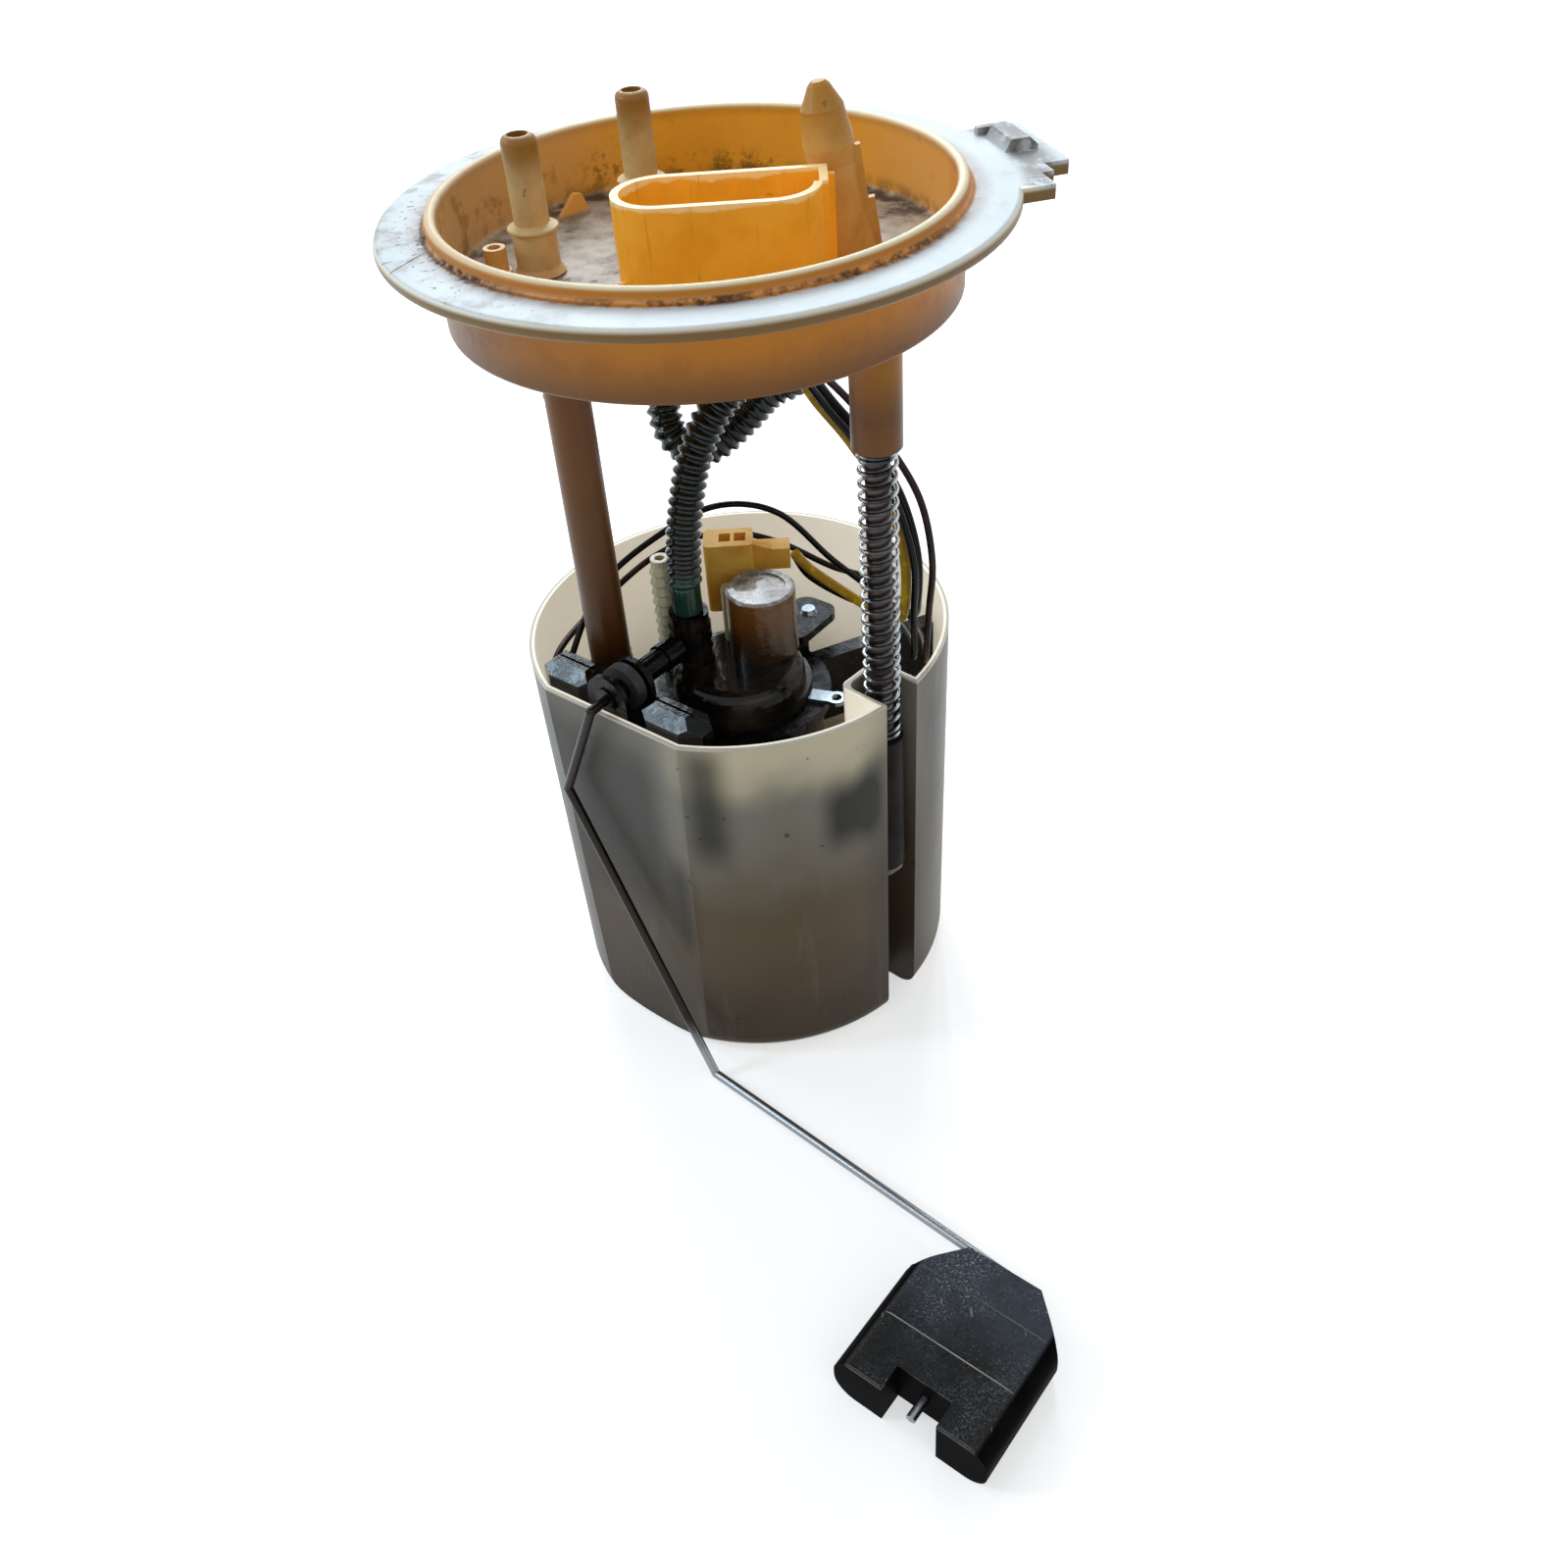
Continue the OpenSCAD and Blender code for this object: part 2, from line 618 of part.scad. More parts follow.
// Jet pump on the floor, fed by the return hose
jet_xy = [-32, 12];
jet_h = 36;
jet_block_h = 14;
jet_d = 8;
jet_bore = 4.6;
jet_z = 6;
jet_throat_l = 24;
module jet_pump() {
  color("#4a4a46") on_pot() translate([jet_xy[0], jet_xy[1], pot_floor]) {
    difference() {
      union() {
        linear_extrude(jet_block_h) round_square([16, 14], 3);
        cylinder(d = jet_d, h = jet_h);
        translate([0, 0, jet_h - 10]) cylinder(d1 = jet_d, d2 = jet_d + 1, h = 3);
        translate([0, 0, jet_z]) rotate([0, 90, 0]) cylinder(d = jet_d, h = jet_throat_l);
      }
      translate([0, 0, jet_z]) cylinder(d = jet_bore, h = jet_h);
      translate([-2, 0, jet_z]) rotate([0, 90, 0]) cylinder(d = jet_bore, h = jet_throat_l + 6);
    }
  }
}

// Pump: can, magnets, chamber, strainer, end bell and brushes, with the rotor inside
pump_r = pump_d / 2;
can_inner_r = pump_r - can_wall;
magnet_t = 4.2;
magnet_r = can_inner_r - fit_gap;
chamber_h = 12;
inlet_x = 8;
inlet_low = can_low - 12;
impeller_z = can_low + 4;
shaft_low = can_low - 2;
shaft_high = can_high + 3;
commutator_r = 6;
commutator_h = 10;
// The rotor fills the can: the commutator hangs under the bell, the armature ends above the chamber
bell_seat = 4;
commutator_z = can_high - bell_seat - commutator_h - 2;
armature_z = can_low + chamber_h + 5;
armature_l = commutator_z - 3 - armature_z;
brush_l = 6;
brush_w = 4;
brush_post = 3;
brush_gap = 0.1;
brush_z = commutator_z + 3;

module pump_can() {
  color("#a3a6a8") at_pump() translate([0, 0, can_low]) ring(pump_r, can_inner_r, can_high - can_low);
}

module pump_magnets() {
  color("#4b4a4c") at_pump() translate([0, 0, armature_z - 2]) difference() {
    ring(magnet_r, magnet_r - magnet_t, armature_l + 4);
    for (a = [0, 90]) rotate(a) cube([2 * pump_r + 2, 5, 3 * armature_l], center = true);
  }
}

// The chamber closes the can at its foot and holds the impeller
module pump_chamber() {
  color("#6b6d63") at_pump() difference() {
    union() {
      translate([0, 0, can_low]) cylinder(r = can_inner_r - fit_gap, h = chamber_h);
      translate([0, 0, can_low - 5]) cylinder(r = pump_r, h = 5);
      translate([inlet_x, 0, inlet_low]) cylinder(r = 6, h = 8);
    }
    translate([0, 0, impeller_z - run_gap])
      cylinder(r = impeller_d / 2 + run_gap, h = impeller_t + 2 * run_gap);
    translate([0, 0, shaft_low - 0.5]) cylinder(d = shaft_d + 2 * fit_gap, h = chamber_h + 10);
    translate([inlet_x, 0, inlet_low - 1]) cylinder(r = 4, h = 17);
  }
}

strainer_size = [34, 26];
strainer_h = 14;
strainer_r = 8;
module pump_strainer() {
  color("#c9c6b6") at_pump() translate([inlet_x, 0, 0]) {
    translate([0, 0, pot_floor]) linear_extrude(strainer_h) round_square(strainer_size, strainer_r);
    translate([0, 0, pot_floor + strainer_h - 1])
      cylinder(r = strainer_r, h = inlet_low - pot_floor - strainer_h + 1);
  }
}

// End bell: stepped cap with the outlet nipple and the seat of the regulator
bell_h = 9;
bell_top = can_high + bell_h;
outlet_xy = [-12, 5];
regulator_xy = [7, 6];
nipple_h = 13;
module pump_end_bell() {
  color("#6f6a4c") at_pump() difference() {
    union() {
      translate([0, 0, can_high]) rotate_extrude() polygon(concat(
        [[0, -bell_seat], [can_inner_r - fit_gap, -bell_seat], [can_inner_r - fit_gap, 0], [pump_r, 0]],
        [[pump_r, 3], [pump_r - 1.5, 3]],
        arc([pump_r - 5.5, bell_h - 4], 4, 0, 90),
        [[0, bell_h]]));
      translate([outlet_xy[0], outlet_xy[1], bell_top - 1]) cylinder(d = 6.4, h = nipple_h + 1);
      translate([-1, 17, can_high]) cylinder(d = 6, h = bell_h + 5);
      // Posts that carry the brushes
      for (side = [-1, 1])
        translate([side * (commutator_r + brush_l + brush_post / 2 + brush_gap), 0, brush_z - 1])
          linear_extrude(can_high - brush_z) square([brush_post, brush_w + 1], center = true);
    }
    translate([0, 0, can_high - 5]) cylinder(d = shaft_d + 2 * fit_gap, h = 5 + shaft_high - can_high + 0.5);
    translate([outlet_xy[0], outlet_xy[1], can_high - 5]) cylinder(d = 3.6, h = bell_h + nipple_h + 10);
  }
}

module pump_brushes() {
  color("#3b3633") at_pump() for (side = [-1, 1])
    translate([side * (commutator_r + brush_gap + brush_l / 2), 0, brush_z + brush_w / 2])
      cube([brush_l, brush_w, brush_w], center = true);
}

module armature() {
  color("#8a5a3a") at_pump() translate([0, 0, armature_z]) difference() {
    cylinder(d = armature_d, h = armature_l);
    translate([0, 0, -1]) cylinder(d = shaft_d, h = armature_l + 2);
    for (a = [0:45:315])
      rotate(a) translate([armature_d / 2 - 1, 0, 0]) cube([6, 1.6, 3 * armature_l], center = true);
  }
}

module commutator() {
  color("#b87a45") at_pump() translate([0, 0, commutator_z]) ring(commutator_r, shaft_d / 2, commutator_h);
}

module rotor_shaft() {
  color("#c4c7ca") at_pump() translate([0, 0, shaft_low]) cylinder(d = shaft_d, h = shaft_high - shaft_low);
}

module impeller() {
  color("#3f4a45") at_pump() translate([0, 0, impeller_z]) difference() {
    cylinder(d = impeller_d, h = impeller_t);
    translate([0, 0, -1]) cylinder(d = shaft_d, h = impeller_t + 2);
    for (i = [0:impeller_vanes - 1])
      rotate(360 * i / impeller_vanes) translate([impeller_d / 2 - 1.4, 0, 0])
        cube([3.6, 1.6, 3 * impeller_t], center = true);
  }
}

// Pressure regulator's cap, on the end bell
module regulator_cap() {
  color("#a8722c") at_pump() translate([regulator_xy[0], regulator_xy[1], bell_top]) difference() {
    union() {
      cylinder(d = regulator_d, h = regulator_h - 0.8);
      translate([0, 0, regulator_h - 0.8]) cylinder(d1 = regulator_d, d2 = regulator_d - 1.6, h = 0.8);
      translate([-regulator_d / 2 + 1, 5, 0]) cylinder(d = 5, h = regulator_h - 3);
    }
    translate([0, 0, regulator_h - 0.5]) cylinder(d = regulator_d - 5, h = 2);
  }
}

// Black sleeve over the outlet nipple: the fuel hose stands on it
sleeve_h = nipple_h;
sleeve_rib_r = 5.6;
module outlet_sleeve() {
  color("#1d1f20") at_pump() translate([outlet_xy[0], outlet_xy[1], bell_top]) {
    ring(sleeve_rib_r - 0.4, 3.2 + fit_gap, sleeve_h);
    for (z = [2, 5, 8]) translate([0, 0, z]) ring(sleeve_rib_r, sleeve_rib_r - 0.5, 1.2);
  }
}

// Clear ribbed nipple beside the outlet
vent_angle = 147;
vent_h = 34;
vent_r = pump_r + 3;
module vent_nipple() {
  color("#cfc9a4") at_pump() rotate(vent_angle) translate([vent_r, 0, holder_low + holder_h]) difference() {
    union() {
      cylinder(d = 5.4, h = 5);
      cylinder(d = 5, h = vent_h);
      for (z = [9:3:vent_h - 4]) translate([0, 0, z]) cylinder(d1 = 6.4, d2 = 5, h = 2.2);
    }
    translate([0, 0, 2]) cylinder(d = 2.6, h = vent_h);
  }
}

// Plug on the pump's terminals
plug_xy = [-1, 20.2];
plug_body = [13, 9];
plug_body_h = 19.9;
plug_lift = 5.1;
plug_slot = [3, 4];
plug_slot_z = 22;
module pump_plug() {
  color("#e0a13a") at_pump() translate([plug_xy[0], plug_xy[1], bell_top]) {
    difference() {
      translate([0, 0, plug_lift]) linear_extrude(plug_body_h) round_square(plug_body, 1.5);
      for (x = [-0.9, 3.1])
        translate([x, 0, plug_slot_z]) linear_extrude(plug_body_h) square(plug_slot, center = true);
    }
    // Latch arm at the side of the plug
    translate([plug_body[0] / 2 - 1.5, -2.3, plug_slot_z - 6]) cube([11, 5.5, 6]);
    translate([plug_body[0] / 2 + 2.5, -1, plug_slot_z])
      rotate([0, 20, 0]) cube([7, 2.4, 1.6], center = true);
  }
}

// Holder: ring round the pump, arms to the pot's wall, eye for the guide tube and plate for the rivet
holder_low = can_high - 22;
holder_h = 22;
holder_t = 2.6;
holder_inner_r = pump_r + fit_gap;
holder_r = holder_inner_r + holder_t;
plate_z = holder_low + 26;
rivet_plate_t = 2.4;
plate_angle = 53;
plate_reach = 28;
plate_size = [19, 13];
neck_size = [10, 11];
rim_w = 2.4;
rim_h = 3;
eye_wall = 3.2;
eye_h = 16;
arm_l = 62;
right_arm = [10.5, 9.9];
right_arm_dir = 25;
foot_arm = [6.15, -11.3];
foot_arm_dir = -72;
module holder_arm(start, dir, length, w, h) {
  translate([start[0], start[1], 0]) rotate(dir) translate([0, -w / 2, 0]) cube([length, w, h]);
}

module pump_holder() {
  color("#1b1d20") on_pot() difference() {
    union() {
      intersection() {
        union() {
          translate([pump_xy[0], pump_xy[1], holder_low]) cylinder(r = holder_r, h = holder_h);
          translate([pump_xy[0], pump_xy[1], holder_low + holder_h - rim_h])
            cylinder(r = holder_r + rim_w, h = rim_h);
          // Arm to the right wall, arm to the left wall through the eye, foot at the front right
          translate([0, 0, holder_low]) {
            holder_arm(pump_xy + right_arm, right_arm_dir, arm_l, 5, holder_h - rim_h / 2);
            holder_arm([pump_xy[0] - pump_r + 3, tube_xy[1]], 180, arm_l, 6, eye_h);
            holder_arm(pump_xy + foot_arm, foot_arm_dir, arm_l, 9, holder_h - 2);
          }
          // Plate with the rivet
          translate([pump_xy[0], pump_xy[1], plate_z]) rotate(plate_angle)
            linear_extrude(rivet_plate_t) translate([plate_reach, 0]) round_square(plate_size, 4);
          translate([pump_xy[0], pump_xy[1], holder_low + holder_h - rim_h - 2]) rotate(plate_angle)
            linear_extrude(plate_z - holder_low - holder_h + rim_h + 3) translate([pump_r + 1, 0])
              round_square(neck_size, 2);
          // Eye of the guide tube
          translate([tube_xy[0], tube_xy[1], holder_low])
            cylinder(d = tube_d + 2 * (run_gap + eye_wall), h = eye_h);
        }
        translate([0, 0, holder_low - 1]) linear_extrude(60) holder_limit();
      }
    }
    translate([pump_xy[0], pump_xy[1], 0]) cylinder(r = holder_inner_r, h = 150);
    translate([tube_xy[0], tube_xy[1], 0]) cylinder(d = tube_d + 2 * run_gap, h = 150);
    translate([rivet_xy[0], rivet_xy[1], 0]) cylinder(r = rivet_r + fit_gap, h = 150);
  }
}

// The space that the holder may fill: inside the wall and clear of the sender
sender_depth = 11.9;
sender_back = front_inner - sender_depth;
module holder_limit() {
  difference() {
    pot_plan(wall_inset(holder_low));
    rotate(front_angle) translate([sender_back - run_gap, -28]) square([30, 57]);
  }
}

rivet_r = 1.4;
rivet_xy = pump_xy + (plate_reach + 3.4) * [cos(plate_angle), sin(plate_angle)];
module holder_rivet() {
  color("#c9ccd0") on_pot() translate([rivet_xy[0], rivet_xy[1], plate_z]) {
    translate([0, 0, -0.8]) cylinder(r = 2.4, h = 0.8);
    cylinder(r = rivet_r, h = rivet_plate_t);
    translate([0, 0, rivet_plate_t]) cylinder(r1 = 2.6, r2 = 1.8, h = 1);
  }
}

// Small steel clip that holds the can in the ring. It takes its size from the room before the groove
steel_dir = -18;
groove_dir = [cos(groove_angle), sin(groove_angle)];
groove_face = pot_r - groove_depth - wall_inset(holder_low);
steel_room = (groove_face - pump_xy * groove_dir) / cos(steel_dir - groove_angle) - pump_r;
steel_r = 0.19 * steel_room;
steel_reach = 0.56 * steel_room;
module holder_clip() {
  color("#9da6ad") on_pot() translate([pump_xy[0], pump_xy[1], holder_low + holder_h + 0.1])
    rotate(steel_dir) {
      translate([pump_r + run_gap, -0.85 * steel_r, 0]) cube([0.8 * steel_reach, 1.7 * steel_r, 1.2]);
      translate([pump_r + steel_reach, 0, 0]) ring(steel_r, 0.54 * steel_r, 1.2);
    }
}

// Level sender: a boxed frame on the flat front, with the resistor card inside
sender_front = front_inner - 0.6;
sender_left = -27;
sender_right = 26.5;
sender_high = pivot_h - 14;
sender_low = sender_high - 44;
plate_t = 1.8;
lug_w = 13;
bearing_d = hub_d + 2 * fit_gap;
module sender_box(c0, c1, n0, n1, z0, z1) {
  translate([c0, -n1, z0]) cube([c1 - c0, n1 - n0, z1 - z0]);
}

module sender_frame() {
  color("#17191b") difference() {
    on_pot() intersection() {
      along_front() union() {
        sender_box(sender_left, sender_right, sender_back, sender_back + plate_t, sender_low, sender_high);
        sender_box(sender_left, sender_right, sender_front - plate_t, sender_front, sender_low, sender_high);
        sender_box(sender_left, sender_right, sender_back, sender_front, sender_low, sender_low + 3);
        for (c = [sender_left, pivot_c - 9, pivot_c + 7.4, sender_right - plate_t])
          sender_box(c, c + 1.6, sender_back, sender_front, sender_high - 14, sender_high);
        // Decks that carry the dampers
        sender_box(sender_left, pivot_c - 7.4, sender_back, sender_front, sender_high - 2, sender_high);
        sender_box(pivot_c + 7.4, sender_right, sender_back, sender_front, sender_high - 2, sender_high);
        // Lugs with the hub's bearings
        for (n = [sender_back, sender_front - plate_t])
          translate([pivot_c, -n, 0]) rotate([90, 0, 0]) linear_extrude(plate_t) {
            translate([-lug_w / 2, sender_high - 1]) square([lug_w, pivot_h - sender_high + 1]);
            translate([0, pivot_h]) circle(d = lug_w);
          }
      }
      linear_extrude(pot_h + 20) pot_plan(wall_inset(sender_low));
    }
    at_pivot() translate([0, 0, sender_back - 5]) cylinder(d = bearing_d, h = 30);
  }
}

// Sealed magnetic sensor on the back lug, read by the magnet on the hub
magnet_disc_r = 6.2;
magnet_disc_t = 3;
sensor_t = 3.35;
sensor_n = sender_back + plate_t + fit_gap;
module sender_sensor() {
  color("#2b2d30") on_pot() along_front()
    sender_box(pivot_c - 5.4, pivot_c + 5.4, sensor_n, sensor_n + sensor_t,
      sender_high + 0.4, pivot_h - magnet_disc_r - run_gap);
}

// Rubber dampers on the sender's decks, with chamfered tops and a slit
damper_l = 20.5;
damper_w = 10.4;
damper_top = pivot_h + 2;
damper_chamfer = 3;
module damper() {
  h = damper_top - sender_high;
  difference() {
    intersection() {
      linear_extrude(h) polygon([
        [-damper_l / 2, -2], [-damper_l / 2 + 5, -damper_w / 2], [damper_l / 2 - 5, -damper_w / 2],
        [damper_l / 2, -2], [damper_l / 2, 2], [damper_l / 2 - 5, damper_w / 2],
        [-damper_l / 2 + 5, damper_w / 2], [-damper_l / 2, 2]]);
      rotate([90, 0, 0]) linear_extrude(2 * damper_w, center = true) polygon([
        [-damper_l / 2, 0], [damper_l / 2, 0], [damper_l / 2, h - damper_chamfer - 1],
        [damper_l / 2 - 5, h], [-damper_l / 2 + 5, h], [-damper_l / 2, h - damper_chamfer - 1]]);
      rotate([90, 0, 90]) linear_extrude(2 * damper_l, center = true) polygon([
        [-damper_w / 2, 0], [damper_w / 2, 0], [damper_w / 2, h - damper_chamfer],
        [2, h], [-2, h], [-damper_w / 2, h - damper_chamfer]]);
    }
    translate([0, 0, h]) cube([damper_l - 1, 0.7, 1.6], center = true);
  }
}

damper_n = (sender_back + sender_front) / 2 + 0.2;
module damper_left() {
  color("#101214") on_pot() along_front()
    translate([(sender_left + pivot_c - 7.4) / 2, -damper_n + 0.8, sender_high]) damper();
}

module damper_right() {
  color("#101214") on_pot() along_front()
    translate([(sender_right + pivot_c + 7.4) / 2, -damper_n, sender_high]) damper();
}

// Float arm: hub, wiper, bent wire and float, turning about the pivot
hub_back = (pump_xy + outlet_xy) * [cos(front_angle), sin(front_angle)] + sleeve_rib_r + 0.75;
hub_front = front_inner - run_gap;
function arm_point(c, n, z) = let (p = front_xy(c, n)) [p[0], p[1], pot_base + z];
bend_lift = wire_d / 2 + 0.3;
float_n = front_flat + 19.1;
float_c = 130;
wire_route = [
  arm_point(pivot_c, hub_back + 2, pivot_h),
  arm_point(pivot_c, front_flat + wire_d + 1.1, pivot_h),
  arm_point(-16, front_flat + wire_d + 1.6, pot_h - 28),
  arm_point(26.6, front_flat + wire_d + 3.9, bend_lift),
  arm_point(float_c, float_n - 2.6, float_t / 2),
  arm_point(float_c, float_n + float_l - 1, float_t / 2)];

module sender_hub() {
  color("#131517") at_pivot() difference() {
    union() {
      translate([0, 0, hub_back]) cylinder(d = hub_d, h = hub_front - hub_back);
      translate([0, 0, hub_back]) cylinder(d = hub_d + 1, h = 6);
    }
    translate([0, 0, hub_back + 2]) cylinder(d = wire_d, h = hub_front);
    translate([0, hub_d / 2 + 0.4, hub_back])
      cube([0.8, 1.6, 2 * (sender_back - hub_back) - 3], center = true);
  }
}

module sender_magnet() {
  color("#3c3e42") at_pivot() translate([0, 0, sender_back + plate_t + 1])
    ring(magnet_disc_r, hub_d / 2, magnet_disc_t);
}

module wire_leg(a, b) {
  v = b - a;
  translate(a) rotate([0, acos(v[2] / norm(v)), atan2(v[1], v[0])])
    cylinder(d = wire_d, h = norm(v), $fn = 24);
}

module float_wire() {
  color("#8f8d88") {
    for (i = [0:len(wire_route) - 2]) wire_leg(wire_route[i], wire_route[i + 1]);
    for (i = [1:len(wire_route) - 2]) translate(wire_route[i]) sphere(d = wire_d + 0.04, $fn = 24);
  }
}

float_lift = 0.4;
float_point = 11;
notch_w = 15;
notch_depth = 7;
module float_body() {
  color("#232425") on_pot() along_front() difference() {
    intersection() {
      // Plan: two corners cut off at the wire's end
      translate([float_c, -float_n, 0]) linear_extrude(float_t + 2) polygon([
        [-float_w / 2 + float_point, 0], [float_w / 2 - float_point, 0], [float_w / 2, -float_point],
        [float_w / 2, -float_l], [-float_w / 2, -float_l], [-float_w / 2, -float_point - 2]]);
      // Section: rounded long edges
      translate([float_c, 0, float_lift + (float_t - float_lift) / 2]) rotate([90, 0, 0])
        linear_extrude(float_n + float_l + 5) round_square([float_w, float_t - float_lift], float_r);
    }
    translate([float_c - notch_w / 2, -float_n - float_l - 1, -1])
      cube([notch_w, notch_depth + 1, float_t + 3]);
    translate([float_c, -float_n - float_l - 1, float_t / 2]) rotate([-90, 0, 0])
      cylinder(d = wire_d, h = float_l + 5);
  }
}

// Routes of the hoses and wires, with heights from the pot's underside
hose_low = bell_top + sleeve_h + 0.4;
jet_top = pot_floor + jet_h + 0.4;
fuel_hose_route = [
  [-12, -12, hose_low], [-12, -12, hose_low + 8.6], [-11, -11, 149], [-9, -9, 160], [-6, -7, 170], [-1, -5, 179],
  [5, -3, 185], [13, 0, 188], [20, 5, 187], [22, 11, 182], [18, 15, 177], [12, 15, 174], [5, 15, 167],
  [-3, 14, 161], [-9, 14, 160], [-14, 16, 165], [-15.5, 20, 174], [-15, 24, 184], [-14.5, 26, 192],
  [-14.5, 26, 196.6]];
return_hose_route = [
  [-36.8, -2, 196.6], [-37, -1.6, 186], [-36, 1, 165], [-36, 2, 145], [-36, 3, 120], [-35, 6, 95],
  [-32.5, 11, 65], [-32, 12, 48], [-32, 12, jet_top]];
yellow_route = [
  [13, -18, 199], [19.5, -11, 190], [24.5, -8, 181], [31.5, -10, 172], [39.5, -16, 160],
  [43.5, -20, 145], [43.5, -19.4, 130], [42, -12, 122], [37, -4, 119], [28, 3, 122], [20, 3.4, 129],
  [16.2, 2.8, 134.4]];
black_route = [
  [18, -18, 199], [22.5, -9.5, 190], [27.5, -6.5, 181], [34.7, -8.6, 172], [42.7, -14.6, 160],
  [46.7, -18.6, 145], [46.7, -18, 130], [46, -10, 122], [41, -1, 117], [30, 7, 117], [20, 7.8, 124],
  [16.2, 5.4, 132.3]];
sender_a_route = [
  [17, -22, 199], [21.6, -14, 190], [26.6, -11, 181], [33.6, -13, 172], [41.6, -19, 160],
  [45.6, -23, 145], [45.6, -22.4, 130], [46, -18, 114], [46, -2, 109], [38, 20, 109], [26, 27, 117],
  [12, 28, 132], [-4, 29, 135], [-20, 27, 129], [-38, 15, 120], [-47.5, -3, 106], [-47.6, -15.4, 101.9]];
sender_b_route = [
  [21, -22, 199], [26.5, -13.5, 190], [33, -10.5, 181], [40.5, -13.5, 172], [47.5, -18.5, 160],
  [50.2, -21.6, 145], [49.6, -20.6, 130], [48.9, -17, 112], [49, 0, 108], [41, 24, 109], [26, 31, 112],
  [10, 32, 121], [-6, 33, 124], [-24, 29, 120], [-41, 16, 112], [-50.2, -4, 110], [-47.9, -15.3, 104.6]];

module hose(route, tint) color(tint) on_pot() swept_tube(smooth_route(route, 2), hose_d, 10);
module wire(route, d, tint) color(tint) on_pot() swept_tube(route, d, 8);
module fuel_hose() hose(fuel_hose_route, "#23292a");
module return_hose() hose(return_hose_route, "#1f3129");
module yellow_wire() wire(yellow_route, 2.6, "#d6b32a");
module black_wire() wire(black_route, 2.4, "#151515");
module sender_wire_a() wire(sender_a_route, 1.8, "#1a1a1a");
module sender_wire_b() wire(sender_b_route, 1.8, "#2a1c14");

flange_cover();
connector_shroud();
connector_terminals();
harness_plug();
supply_spigot();
return_spigot();
heater_nipple();
vent_stub();
rod_socket();
guide_rod();
rod_stop_clip();
rod_sleeve();
guide_tube();
guide_spring();
swirl_pot();
inlet_valve_seat();
inlet_valve_disc();
jet_pump();
pump_holder();
holder_rivet();
holder_clip();
pump_can();
pump_magnets();
pump_chamber();
pump_strainer();
pump_end_bell();
pump_brushes();
armature();
commutator();
rotor_shaft();
impeller();
regulator_cap();
outlet_sleeve();
vent_nipple();
pump_plug();
sender_frame();
sender_sensor();
damper_left();
damper_right();
sender_hub();
sender_magnet();
float_wire();
float_body();
fuel_hose();
return_hose();
yellow_wire();
black_wire();
sender_wire_a();
sender_wire_b();
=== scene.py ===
# Fuel pump module of a car's tank: flange, guides, swirl pot with its pump, and level sender.
# Metres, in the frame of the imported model: +Z up, the origin on the flange's axis at its sealing face.
import math

import bpy
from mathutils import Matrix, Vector


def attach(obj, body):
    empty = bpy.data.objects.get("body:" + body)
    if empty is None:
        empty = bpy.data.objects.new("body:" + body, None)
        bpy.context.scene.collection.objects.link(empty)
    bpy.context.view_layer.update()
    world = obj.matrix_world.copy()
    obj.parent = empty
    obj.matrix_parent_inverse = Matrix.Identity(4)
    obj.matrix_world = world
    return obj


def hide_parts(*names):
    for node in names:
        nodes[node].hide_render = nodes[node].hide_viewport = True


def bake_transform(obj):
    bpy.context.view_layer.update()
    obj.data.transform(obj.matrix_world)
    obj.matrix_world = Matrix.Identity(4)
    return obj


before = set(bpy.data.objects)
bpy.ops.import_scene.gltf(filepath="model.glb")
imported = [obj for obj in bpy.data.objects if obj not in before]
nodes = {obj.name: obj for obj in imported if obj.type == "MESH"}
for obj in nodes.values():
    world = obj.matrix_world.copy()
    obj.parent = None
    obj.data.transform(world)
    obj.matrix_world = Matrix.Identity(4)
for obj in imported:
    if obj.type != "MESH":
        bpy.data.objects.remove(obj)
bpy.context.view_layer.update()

# Camera
# It stands where the photographer stood: close, above the flange and a little right of the middle,
# turned a few degrees anticlockwise.
bpy.ops.object.camera_add(
    location=(0.02254, -0.32449, 0.10951),
    rotation=(math.radians(49.398), math.radians(3.483), math.radians(-0.535)))
camera = bpy.context.object
camera.data.lens = 33.036
camera.data.sensor_width = 36
camera.data.clip_start = 0.01
bpy.context.scene.camera = camera

# Swirl pot
# A thin cup moulded in natural acetal, with a flat front and a groove for the guide rod. Outside it is grey,
# darker and browner towards the foot, from painted shade and fuel stains. Inside it is still cream, with a
# painted glow as of light coming through the wall.
pot_base = -0.225
pot_height = 0.117
pot_radius = 0.0565
pot_front = math.radians(-128)
groove_line = math.radians(-42.5)
# Soft shadows: middle and half width in degrees round the pot, foot and top as a share of its height, depth
shadows_in_wall = ((-99, 5, 0.68, 1.0, 0.8), (-60, 8, 0.67, 0.84, 0.95), (-110, 3, 0.38, 0.64, 0.9),
                   (-130, 16, 0.45, 0.90, 0.45), (-52, 4, 0.2, 0.9, 0.4), (-24, 5, 0.55, 0.9, 0.5),
                   (0, 9, 0.55, 0.9, 0.35), (150, 14, 0.5, 0.86, 0.35), (85, 12, 0.5, 0.8, 0.3))


